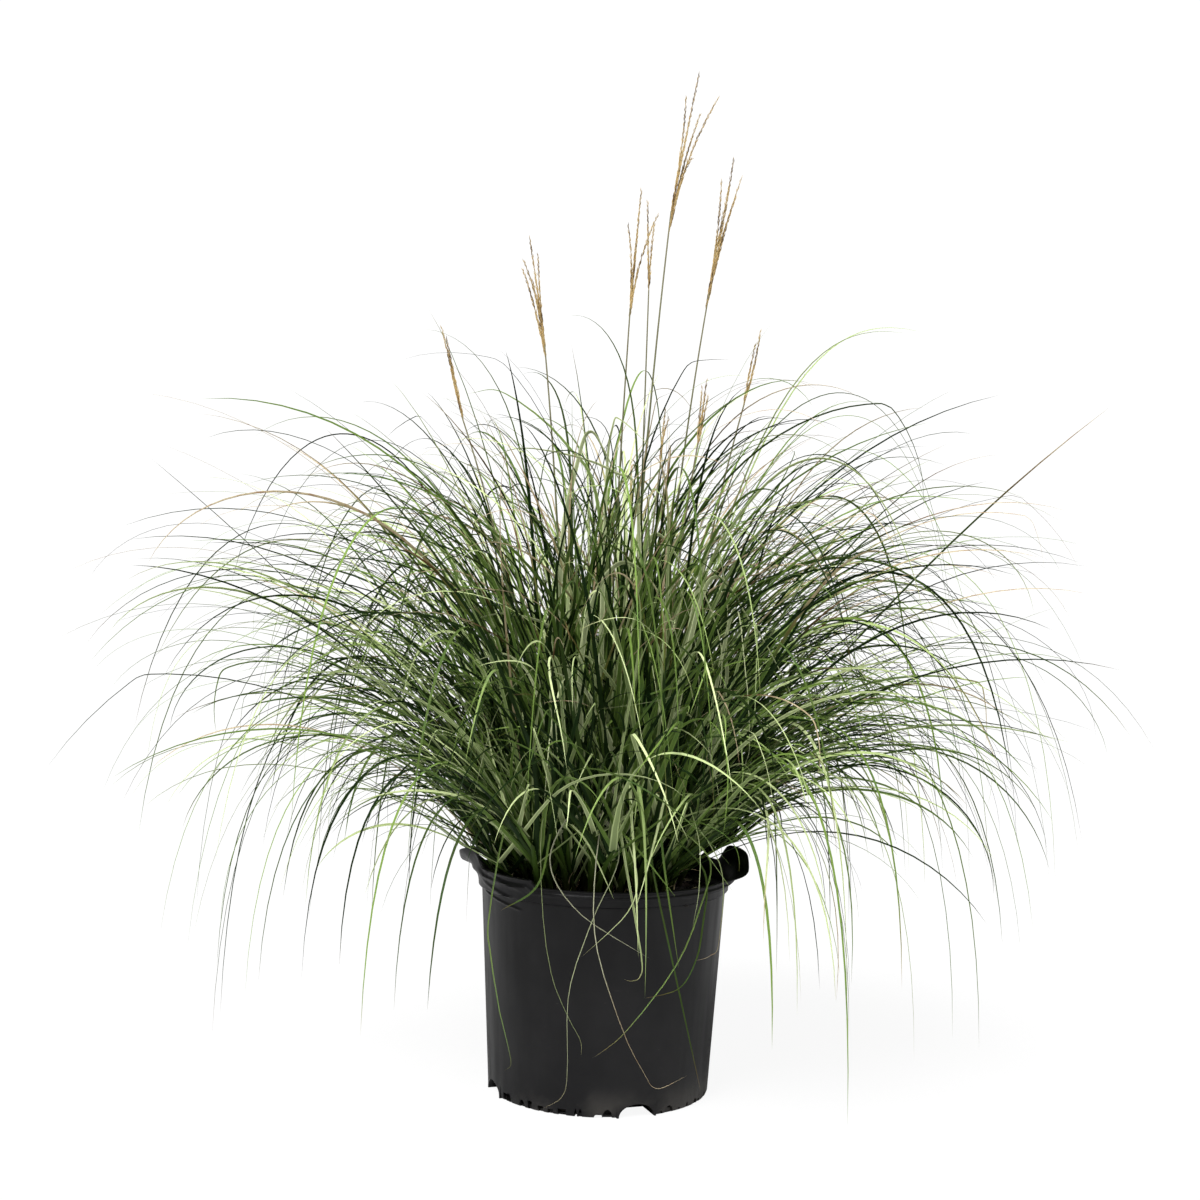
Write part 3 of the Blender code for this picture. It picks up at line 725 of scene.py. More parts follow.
@dataclass(frozen=True)
class PlasticFinish:
    """Black recycled plastic, satin, with flow marks, scuffs and a few specks of grit."""

    black: Colour = (0.0024, 0.0023, 0.0029)
    grey: Colour = (0.0068, 0.0065, 0.0072)
    dust: Colour = (0.085, 0.078, 0.068)
    grit: Colour = (0.350, 0.330, 0.300)
    sheen: float = 0.24
    splash_height: float = 0.035

    def material(self) -> bpy.types.Material:
        """Builds the finish from places on the can.

        Returns:
            The material.
        """
        sheet = NodeSheet("nursery_plastic")
        place = sheet.place()
        # Blotches, flow marks and pale scuffs in the moulded wall
        blotches = sheet.cloud(place, 14.0, 4.0)
        colour = sheet.blend(sheet.ramp(blotches, 0.35, 0.7), self.black, self.grey)
        flow = sheet.cloud(sheet.stretched(place, (70.0, 70.0, 6.0)), 1.0, 3.0)
        colour = sheet.blend(sheet.ramp(flow, 0.55, 0.8, 0.0, 0.5), colour, self.grey)
        scuffs = sheet.cloud(sheet.stretched(place, (60.0, 60.0, 420.0)), 1.0, 3.0, 0.7)
        worn = sheet.product(sheet.ramp(scuffs, 0.66, 0.78), sheet.ramp(blotches, 0.5, 0.62), 0.5)
        colour = sheet.blend(worn, colour, self.dust)
        # Splashed dirt near the ground, and rare specks of grit
        height = sheet.add("ShaderNodeSeparateXYZ", {0: place}).outputs["Z"]
        low = sheet.ramp(height, self.splash_height, 0.0)
        splash = sheet.product(low, sheet.ramp(blotches, 0.4, 0.6), 0.35)
        colour = sheet.blend(splash, colour, self.dust)
        cells = sheet.add("ShaderNodeTexVoronoi", {"Vector": place, "Scale": 42.0})
        lot = sheet.add("ShaderNodeSeparateColor", {0: cells.outputs["Color"]}).outputs[0]
        centre = sheet.ramp(cells.outputs["Distance"], 0.055, 0.03)
        speck = sheet.product(centre, 0.8, sheet.ramp(lot, 0.86, 0.88))
        colour = sheet.blend(speck, colour, self.grit)
        peel = sheet.product(sheet.cloud(place, 900.0, 2.0), 0.25)
        relief = sheet.plus(peel, flow)
        sockets = {
            "Base Color": colour,
            "Roughness": sheet.ramp(flow, 0.3, 0.75, 0.38, 0.54),
            "Specular IOR Level": self.sheen,
            "Normal": sheet.bumped(relief, 0.12, 0.0006),
        }
        return sheet.finish(sockets)


@dataclass(frozen=True)
class CompostFinish:
    """Damp black composted bark, crumbly all over."""

    wet: Colour = (0.0030, 0.0024, 0.0020)
    crumb: Colour = (0.016, 0.011, 0.007)
    sheen: float = 0.25

    def material(self) -> bpy.types.Material:
        """Builds the finish from places in the fill.

        Returns:
            The material.
        """
        sheet = NodeSheet("bark_compost")
        place = sheet.place()
        crumbs = sheet.cloud(place, 210.0, 5.0, 0.7)
        sockets = {
            "Base Color": sheet.blend(sheet.ramp(crumbs, 0.48, 0.72), self.wet, self.crumb),
            "Roughness": sheet.ramp(crumbs, 0.3, 0.7, 0.82, 0.97),
            "Specular IOR Level": self.sheen,
            "Normal": sheet.bumped(crumbs, 0.9, 0.003),
        }
        return sheet.finish(sockets)


@dataclass(frozen=True)
class BarkFinish:
    """Loose chips, most of them nearly black, some brown and a few pale."""

    dark: Colour = (0.010, 0.007, 0.005)
    brown: Colour = (0.026, 0.014, 0.008)
    pale: Colour = (0.480, 0.400, 0.280)

    def material(self) -> bpy.types.Material:
        """Builds the finish from each chip's tone.

        Returns:
            The material.
        """
        sheet = NodeSheet("bark_chips")
        tone = sheet.value_of("tone")
        grain = sheet.cloud(sheet.place(), 350.0, 3.0, 0.7)
        colour = sheet.blend(sheet.ramp(tone, 0.35, 0.9), self.dark, self.brown)
        colour = sheet.blend(sheet.ramp(tone, 0.955, 0.97), colour, self.pale)
        colour = sheet.blend(sheet.ramp(grain, 0.4, 0.75, 0.0, 0.6), colour, self.dark)
        sockets = {
            "Base Color": colour,
            "Roughness": sheet.ramp(grain, 0.3, 0.7, 0.75, 0.95),
            "Normal": sheet.bumped(grain, 0.6, 0.001),
        }
        return sheet.finish(sockets)


# The can


@dataclass(frozen=True)
class Stretch:
    """A stretch of the rim, in degrees past the nearer grip: start, full, last full and stop."""

    start: float
    full: float
    last: float
    stop: float

    def share(self, azimuth: np.ndarray, sooner: np.ndarray | float = 0.0) -> np.ndarray:
        """1 on the stretch and its opposite, easing to 0 beyond them.

        Args:
            azimuth: Azimuths in degrees.
            sooner: How many degrees sooner the stretch ends.

        Returns:
            The share at each azimuth.
        """
        past = (azimuth + 90.0) % 180.0 - 90.0
        up = (past - self.start) / (self.full - self.start)
        down = (self.stop - sooner - past) / (self.stop - self.last)
        share = np.clip(np.minimum(up, down), 0.0, 1.0)
        return share * share * (3.0 - 2.0 * share)


@dataclass(frozen=True)
class NurseryCan:
    """The moulded can: tapered wall, beaded rim, two flared grips, drain pockets and notches.

    Sizes are in metres and azimuths in degrees. A pair is a range to draw from, and a share says how often.
    """

    height: float = 0.229
    base_radius: float = 0.116
    wall_top_radius: float = 0.1285
    band_radius: float = 0.131
    band_height: float = 0.016
    bead: float = 0.0018
    # Each bead: how far below the rim it is, half its height and its size as a share of bead
    beads: tuple[tuple[float, float, float], ...] = ((0.0064, 0.0014, 1.2), (0.0009, 0.0011, 0.9))
    wall: float = 0.0022
    floor: float = 0.0025
    flare: Stretch = Stretch(-24.0, -4.0, 4.0, 24.0)
    tab: Stretch = Stretch(-10.0, 14.0, 15.0, 22.0)
    collar: Stretch = Stretch(-18.0, 6.0, 56.0, 59.0)
    grip_flare: float = 0.021
    flare_bend: float = 3.0
    tab_rise: float = 0.018
    collar_rise: float = 0.0065
    collar_slant: float = 8.0
    ridge_depth: float = 0.0012
    ridge_half: float = 0.0012
    ridge_heights: tuple[float, ...] = (0.2080, 0.2170, 0.2262)
    ridge_slope: float = 0.00028
    ridge_level_at: float = 30.0
    first_arch: float = -70.0
    arch_count: int = 4
    arch_half_width: float = 0.019
    arch_height: float = 0.0135
    pocket_depth: float = 0.033
    pocket_wall: float = 0.002
    notches: int = 11
    notch_clear: float = 11.0
    notch_stray: float = 2.2
    notch_half_width: tuple[float, float] = (0.0014, 0.0058)
    notch_height: tuple[float, float] = (0.0030, 0.0098)
    notch_depth: tuple[float, float] = (0.0025, 0.005)
    deep_notch: tuple[float, float] = (0.008, 0.016)
    deep_share: float = 0.2
    round_share: float = 0.7
    facets: int = 288
    sharp_from: float = 38.0

    def wall_radius(self, height: np.ndarray | float) -> np.ndarray | float:
        """Outer radius of the tapered wall at a height."""
        share = height / (self.height - self.band_height)
        return self.base_radius + (self.wall_top_radius - self.base_radius) * share

    def rim(self, azimuth: np.ndarray) -> tuple[np.ndarray, np.ndarray]:
        """The rim's form, as it rises at the collars and grips and flares at the grips.

        Args:
            azimuth: Azimuths in degrees.

        Returns:
            The rim's height and its outer radius at each azimuth.
        """
        lift = self.collar_rise * self.collar.share(azimuth) + self.tab_rise * self.tab.share(azimuth)
        flared = self.grip_flare * self.flare.share(azimuth)
        return self.height + lift, self.band_radius + self.bead + flared

    def keep_clear(self, line: np.ndarray, margin: float) -> np.ndarray:
        """Lifts or pushes the points of a line that would run into the wall or the rim.

        Args:
            line: The line's points.
            margin: How far it stays off the can.

        Returns:
            The line, laid over the rim and against the wall where it met them.
        """
        line = line.copy()
        inner = self.wall_top_radius - self.wall - margin
        for turn in range(3):
            radius = np.hypot(line[:, 0], line[:, 1])
            top, outer = self.rim(np.degrees(np.arctan2(line[:, 1], line[:, 0])))
            below = line[:, 2] < self.height - 1.1 * self.band_height
            outer = np.where(below, self.wall_radius(np.maximum(line[:, 2], 0.0)), outer) + margin
            lift = top + margin - line[:, 2]
            push = outer - radius
            inside = (radius > inner) & (push > 0.0) & (lift > 0.0)
            raised = inside & (lift <= push)
            pushed = inside & (lift > push)
            line[raised, 2] += lift[raised]
            line[pushed, :2] *= (outer[pushed] / radius[pushed])[:, None]
            if turn < 2 and inside.any():
                line[1:-1] = 0.25 * line[:-2] + 0.5 * line[1:-1] + 0.25 * line[2:]
        return line

    def skin(self, height: float) -> float:
        """Outer radius of the wall and the beaded band, before the grips are drawn out.

        Args:
            height: Where it is read, up to the rim.

        Returns:
            The radius.
        """
        foot = self.height - self.band_height
        step = min(max((height - foot + 0.0008) / 0.0018, 0.0), 1.0)
        radius = self.wall_radius(min(height, foot))
        radius += (self.band_radius - radius) * step * step * (3.0 - 2.0 * step)
        above = height - self.height
        swell = sum(size * math.exp(-(((above + drop) / half) ** 2)) for drop, half, size in self.beads)
        return radius + self.bead * swell

    def outline(self) -> list[tuple[float, float]]:
        """The can's section: foot, outer wall, beaded band, over the rim and down the inner wall.

        Returns:
            The radius and height of each point.
        """
        foot = self.height - self.band_height
        inner = self.band_radius - self.wall
        points = [(self.base_radius - 0.0026, 0.0), (self.base_radius - 0.0006, 0.0009)]
        heights = (*np.linspace(0.003, 0.198, 14), *np.arange(0.2005, self.height - 0.0003, 0.0009))
        points += [(self.skin(height), height) for height in heights]
        points += [(self.skin(self.height) - 0.0005, self.height), (inner + 0.0005, self.height)]
        points += [(inner, height) for height in np.linspace(self.height - 0.0006, foot + 0.001, 9)]
        inside = (foot - 0.003, 0.12, 0.008)
        points += [(self.wall_radius(height) - self.wall, height) for height in inside]
        points += [(self.wall_radius(self.floor) - self.wall - 0.002, self.floor)]
        return points

    def turn_wall(self) -> bpy.types.Object:
        """Draws the wall up from a ring, ring by ring, and closes its floor.

        Returns:
            The can, still round all the way.
        """
        outline = self.outline()
        deselect_all()
        bpy.ops.mesh.primitive_circle_add(vertices=self.facets, radius=outline[0][0], fill_type="NOTHING")
        can = bpy.context.active_object
        can.name = "nursery_can"
        bpy.ops.object.mode_set(mode="EDIT")
        for (radius, height), (next_radius, next_height) in pairwise(outline):
            draw_on(next_height - height, next_radius / radius, next_height)
        bpy.ops.mesh.select_all(action="SELECT")
        bpy.ops.mesh.fill_holes(sides=0)
        bpy.ops.mesh.select_all(action="SELECT")
        bpy.ops.mesh.normals_make_consistent(inside=False)
        bpy.ops.object.mode_set(mode="OBJECT")
        return can

    def raise_grips(self, can: bpy.types.Object) -> None:
        """Draws the rim up and outwards into the grips, and raises the collars and their ridges.

        Args:
            can: The can, round all the way.
        """
        places = corners_of(can)
        foot = self.height - self.band_height
        share = np.clip((places[:, 2] - foot) / self.band_height, 0.0, 1.0)
        azimuth = np.degrees(np.arctan2(places[:, 1], places[:, 0]))
        raised = self.collar.share(azimuth, self.collar_slant * (1.0 - share))
        bent = share**self.flare_bend
        radius = np.hypot(places[:, 0], places[:, 1])
        past = (azimuth + 90.0) % 180.0 - 90.0
        ridges = np.zeros(len(places))
        for height in self.ridge_heights:
            above = places[:, 2] - height + self.ridge_slope * (past - self.ridge_level_at)
            ridges += np.exp(-((above / self.ridge_half) ** 2))
        flared = self.flare.share(azimuth)
        ridges *= raised * (1.0 - flared) * (radius > self.wall_radius(0.19) - 0.001)
        wider = self.grip_flare * flared * bent + self.ridge_depth * (ridges + raised * (share > 0.0))
        places[:, :2] *= ((radius + wider) / np.maximum(radius, 1e-6))[:, None]
        places[:, 2] += share * self.collar_rise * raised + bent * self.tab_rise * self.tab.share(azimuth)
        put_corners(can, places)

    def pockets(self, form: Form, grown: float, reach: float) -> list[bpy.types.Object]:
        """Adds one body for each drain pocket, as large as the pocket or a little larger.

        Args:
            form: How the bodies are drawn.
            grown: How much larger it is at its sides, top and back.
            reach: The radius that it ends at.

        Returns:
            The bodies.
        """
        wide, tall = self.arch_half_width + grown, self.arch_height + grown
        back = self.base_radius - self.pocket_depth - grown
        low = (back, -wide, 0.0 if form is Form.BLOCK else -tall)
        turns = [self.first_arch + 360.0 / self.arch_count * arch for arch in range(self.arch_count)]
        return [add_form(form, turn, low, (reach, wide, tall)) for turn in turns]

    def cut_drains(self, can: bpy.types.Object) -> None:
        """Moulds the drain pockets into the floor and cuts uneven notches out of the bottom edge.

        Args:
            can: The can, with its grips.
        """
        rng = np.random.default_rng(LAYOUT_SEED)
        carve(can, Carving.ADD, self.pockets(Form.BLOCK, self.pocket_wall, self.base_radius - 0.0010))
        cutters = self.pockets(Form.BARREL, 0.0, self.base_radius + 0.02)
        quarter = 360.0 / self.arch_count
        for number in range(self.arch_count * self.notches):
            arch, notch = divmod(number, self.notches)
            share = (notch + 0.5) / self.notches
            turn = self.first_arch + quarter * arch + self.notch_clear
            turn += (quarter - 2.0 * self.notch_clear) * share
            turn += rng.uniform(-self.notch_stray, self.notch_stray)
            wide, tall = rng.uniform(*self.notch_half_width), rng.uniform(*self.notch_height)
            form = Form.BARREL if rng.uniform() < self.round_share else Form.BLOCK
            deep = rng.uniform(*(self.deep_notch if rng.uniform() < self.deep_share else self.notch_depth))
            low, high = (self.base_radius - deep, -wide, -tall), (self.base_radius + 0.006, wide, tall)
            cutters.append(add_form(form, turn, low, high))
        carve(can, Carving.CUT, cutters)

    def build(self) -> bpy.types.Object:
        """Makes the can and dresses it.

        Returns:
            The can's object.
        """
        can = self.turn_wall()
        self.raise_grips(can)
        self.cut_drains(can)
        smooth_by_angle(can, self.sharp_from)
        dress(can, PlasticFinish().material(), Slot.PLASTIC, "nursery_pot")
        return can


# Compost


@dataclass(frozen=True)
class CompostFill:
    """The bark compost in the can: a crumbly mounded top with loose chips on it."""

    can: NurseryCan
    top: float = 0.209
    gap: float = 0.0006
    rings: int = 30
    facets: int = 128
    lump: float = 0.0030
    lumps: float = 42.0
    finer_lumps: float = 150.0
    foot_height: float = 0.006
    foot_step: float = 0.003
    chip_count: int = 1500
    chip_length: float = 0.0075
    chip_uneven: float = 0.13

    def surface(self, x: float, y: float) -> float:
        """Height of the compost's lumpy top, a little lower at its edge.

        Args:
            x: Where it is read, towards the right.
            y: Where it is read, away from the viewer.

        Returns:
            The height.
        """
        coarse = noise.noise(Vector((x * self.lumps, y * self.lumps, 3.1)))
        fine = noise.noise(Vector((x * self.finer_lumps, y * self.finer_lumps, 8.4)))
        edge = min(max((math.hypot(x, y) - 0.112) / 0.012, 0.0), 1.0)
        return self.top + self.lump * (coarse + 0.45 * fine) - 0.0015 * edge

    def draw_fill(self) -> bpy.types.Object:
        """Draws the top inwards from its edge, then the sides down to the can's floor.

        Returns:
            The fill, still with a flat top.
        """
        edge = self.can.wall_radius(self.top) - self.can.wall - self.gap
        deselect_all()
        bpy.ops.mesh.primitive_circle_add(
            vertices=self.facets, radius=edge, fill_type="NOTHING", location=(0.0, 0.0, self.top)
        )
        fill = bpy.context.active_object
        fill.name = "bark_compost"
        apply_place(fill)
        bpy.ops.object.mode_set(mode="EDIT")
        bpy.ops.mesh.select_all(action="SELECT")
        for radius, next_radius in pairwise(np.linspace(edge, edge / self.rings, self.rings)):
            draw_on(0.0, next_radius / radius, self.top)
        bpy.ops.mesh.edge_face_add()
        bpy.ops.mesh.select_all(action="DESELECT")
        bpy.ops.mesh.select_mode(type="EDGE")
        bpy.ops.mesh.select_non_manifold()
        floor = self.can.floor + self.gap
        low = floor + self.foot_height
        foot = self.can.wall_radius(low) - self.can.wall - self.gap
        draw_on(low - self.top, foot / edge, low)
        draw_on(-self.foot_height, (foot - self.foot_step) / foot, floor)
        bpy.ops.mesh.edge_face_add()
        bpy.ops.mesh.select_all(action="SELECT")
        bpy.ops.mesh.normals_make_consistent(inside=False)
        bpy.ops.object.mode_set(mode="OBJECT")
        return fill

    def build_fill(self) -> bpy.types.Object:
        """Makes the fill, lumps its top and leaves room for the can's drain pockets.

        Returns:
            The fill's object.
        """
        fill = self.draw_fill()
        places = corners_of(fill)
        for index, (x, y, z) in enumerate(places):
            if z > self.top - 1e-4:
                places[index, 2] = self.surface(x, y)
        put_corners(fill, places)
        can = self.can
        carve(fill, Carving.CUT, can.pockets(Form.BLOCK, can.pocket_wall + self.gap, can.base_radius + 0.01))
        smooth_by_angle(fill, 60.0)
        dress(fill, CompostFinish().material(), Slot.SOIL, "potting_soil")
        return fill

    def build_chips(self) -> bpy.types.Object:
        """Strews chips of bark over the top, each an uneven slab lying in the crumbs.

        Returns:
            The chips' object.
        """
        rng = np.random.default_rng(LAYOUT_SEED + 1)
        chips = JoinedMesh("tone")
        box = np.array([(x, y, z) for x in (-0.5, 0.5) for y in (-0.5, 0.5) for z in (-0.5, 0.5)])
        faces = [(0, 1, 3, 2), (4, 6, 7, 5), (0, 4, 5, 1), (2, 3, 7, 6), (0, 2, 6, 4), (1, 5, 7, 3)]
        reach = self.can.wall_radius(self.top) - self.can.wall - 0.005
        for _ in range(self.chip_count):
            away, angle = reach * math.sqrt(rng.uniform()), rng.uniform(0.0, 2.0 * math.pi)
            x, y = away * math.cos(angle), away * math.sin(angle)
            length = self.chip_length * rng.lognormal(-0.25, 0.45)
            size = np.array((length, length * rng.uniform(0.3, 0.7), length * rng.uniform(0.12, 0.3)))
            shape = (box + rng.uniform(-self.chip_uneven, self.chip_uneven, box.shape)) * size
            turn = Matrix.Rotation(rng.uniform(0.0, 6.28), 3, "Z")
            turn = turn @ Matrix.Rotation(rng.normal(0.0, 0.35), 3, "X")
            turn = np.array(turn @ Matrix.Rotation(rng.normal(0.0, 0.30), 3, "Y"))
            centre = np.array((x, y, self.surface(x, y) + 0.25 * size[2]))
            chips.add(shape @ turn.T + centre, faces, tone=rng.uniform())
        thing = chips.to_object("bark_chips", 20.0)
        dress(thing, BarkFinish().material(), Slot.SOIL)
        return thing


# The clump


@dataclass(frozen=True)
class Guide:
    """One leaf of a packed tuft: its collar, its tip, how high it goes and how it ends."""

    collar: np.ndarray
    tip: np.ndarray
    peak: float
    habit: Habit


def read_leaf(places: np.ndarray, around: list[set[int]], tip: int, collars: np.ndarray) -> Guide:
    """Follows a solid leaf from its tip, ring by ring, and finds the collar that it grew from.

    Args:
        places: The solid's points.
        around: The neighbours of each point.
        tip: The number of the tip's point.
        collars: The places on the stem that a leaf may grow from.

    Returns:
        The leaf as a guide.
    """
    ring, seen, centres = {tip}, {tip}, [places[tip]]
    while len(ring := {other for corner in ring for other in around[corner]} - seen) == 3:
        seen |= ring
        centres.append(places[list(ring)].mean(0))
    line = np.array(centres)
    peak = float(line[:, 2].max())
    habit = Habit.RISING if peak < line[0, 2] + 0.002 else Habit.ARCHING

    def misfit(collar: np.ndarray) -> float:
        """How far the leaf's rings lie from an arc grown from this collar."""
        arc = arc_points(collar, line[0], peak, habit)
        return float(np.linalg.norm(line[:, None, :] - arc[None, :, :], axis=2).min(1).sum())

    return Guide(min(collars, key=misfit), line[0], peak, habit)


@dataclass(frozen=True)
class Crown:
    """Where the tufts stand, and how their sheath stems lean."""

    middle: tuple[float, float] = (-0.012, 0.002)
    radius: float = 0.095
    inner_lean: float = 3.0
    outer_lean: float = 42.0
    inner_stem: float = 0.155
    outer_stem: float = 0.100
    foot_height: float = 0.2093
    collars: tuple[float, ...] = (0.93, 0.70, 0.48)

    def share(self, place: np.ndarray) -> tuple[float, float]:
        """How far out a place is, from 0 to 1 at the crown's edge, and its heading in radians."""
        away = place[:2] - np.array(self.middle)
        return min(float(np.hypot(away[0], away[1])) / self.radius, 1.0), math.atan2(away[1], away[0])

    def lean(self, share: float) -> float:
        """How far a stem leans from upright, in radians."""
        return math.radians(self.inner_lean + (self.outer_lean - self.inner_lean) * share**1.2)

    def stem(
        self, foot: np.ndarray, turn: float = 0.0, size: float = 1.0, lean_more: float = 0.0
    ) -> np.ndarray:
        """The line of a sheath stem: upright at its foot, then leaning away from the crown.

        Args:
            foot: Where it stands.
            turn: Degrees that it is turned away from straight outwards.
            size: Its length as a share of the tuft's own.
            lean_more: Degrees that it leans further.

        Returns:
            Its points, foot first.
        """
        share, outward = self.share(foot)
        heading = outward + math.radians(turn)
        lean = self.lean(share) + math.radians(lean_more)
        length = (self.inner_stem + (self.outer_stem - self.inner_stem) * share) * size
        out = length * math.sin(lean)
        top = foot + np.array((out * math.cos(heading), out * math.sin(heading), length * math.cos(lean)))
        return bent_points(foot, top, 0.35 * length)

    def read_tuft(self, solid: bpy.types.Object) -> tuple[np.ndarray, list[Guide]]:
        """Reads a packed tuft: where its stem stands, and its leaves as guides.

        Args:
            solid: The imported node's object.

        Returns:
            The stem's foot and one guide for each leaf.
        """
        places, merged = np.unique(np.round(corners_of(solid), 5), axis=0, return_inverse=True)
        merged = merged.reshape(-1)
        around: list[set[int]] = [set() for _ in places]
        for edge in solid.data.edges:
            first, second = (int(merged[corner]) for corner in edge.vertices)
            around[first].add(second)
            around[second].add(first)
        foot = places[np.abs(places[:, 2] - self.foot_height) < 1e-4].mean(0)
        collars = at_shares(self.stem(foot), np.array(self.collars))
        guides = []
        for index, near in enumerate(around):
            ways = places[list(near)] - places[index]
            ways /= np.linalg.norm(ways, axis=1)[:, None]
            if (ways @ ways.T).min() > 0.9:
                guides.append(read_leaf(places, around, index, collars))
        return foot, guides


@dataclass(frozen=True)
class Trail:
    """A thin blade that hangs in front of the can.

    Its places across and up are in millimetres, on a curtain round the can, and so is its width.
    """

    places: tuple[tuple[float, float], ...]
    dryness: float = -0.05
    width: float = 2.4
    tone: float = 0.92
    curtain: float = 0.146
    crest_rise: float = 0.030

    def knots(self) -> np.ndarray:
        """The trail's places with their depth."""
        return np.array([(x, -math.sqrt(self.curtain**2 - x * x), z) for x, z in metres(self.places)])

    def route(self, collar: np.ndarray) -> np.ndarray:
        """The whole blade, from a collar in the crown up over the rim and down the trail.

        Args:
            collar: Where it leaves its shoot.

        Returns:
            The blade's line.
        """
        knots = self.knots()
        crest = 0.45 * collar + 0.55 * knots[0]
        crest[2] = max(collar[2], knots[0][2]) + self.crest_rise
        return smooth_route(np.vstack((collar, crest, knots)), 16)


TRAILS = (
    Trail(((-102, 284), (-116, 191), (-113, 157), (-102, 104), (-88, 56), (-94, 44)), -0.05, 2.4, 0.76),
    Trail(((-63, 295), (-60, 209), (-49, 146), (-31, 106), (-19, 85), (-18, 70))),
    Trail(((13, 270), (-12, 202), (-32, 131), (-31, 52), (-36, 28), (-53, 15)), 0.0, 2.5, 1.12),
    Trail(((-9, 255), (-6, 180), (22, 97), (43, 56), (58, 37), (89, 46)), 0.30, 2.4, 1.2),
    Trail(((103, 263), (95, 210), (72, 156), (25, 95), (-7, 68)), 0.02, 2.3, 0.76),
    Trail(((47, 255), (72, 152), (103, 27)), 0.0, 1.8, 0.30),
    Trail(((21, 255), (38, 171), (38, 150), (30, 145), (21, 147)), 0.0),
    Trail(((-54, 262), (-25, 212), (49, 165)), -0.1, 3.0, 1.2),
    Trail(((116, 255), (118, 175), (108, 162), (92, 160)), 0.15),
    Trail(((99, 250), (99, 188), (92, 156), (76, 134), (41, 127)), 0.0, 1.9, 0.34),
    Trail(((-60, 250), (-72, 226), (-103, 203)), 0.0, 2.6, 0.42),
    Trail(((30, 255), (24, 214), (-22, 166)), 0.0, 2.5, 1.0),
)


@dataclass(frozen=True)
class Arch:
    """A blade that shows in the clump's front: places on its way and its width, in millimetres."""

    places: tuple[Place, ...]
    width: float = 5.6
    tone: float = 1.08
    dryness: float = -0.12


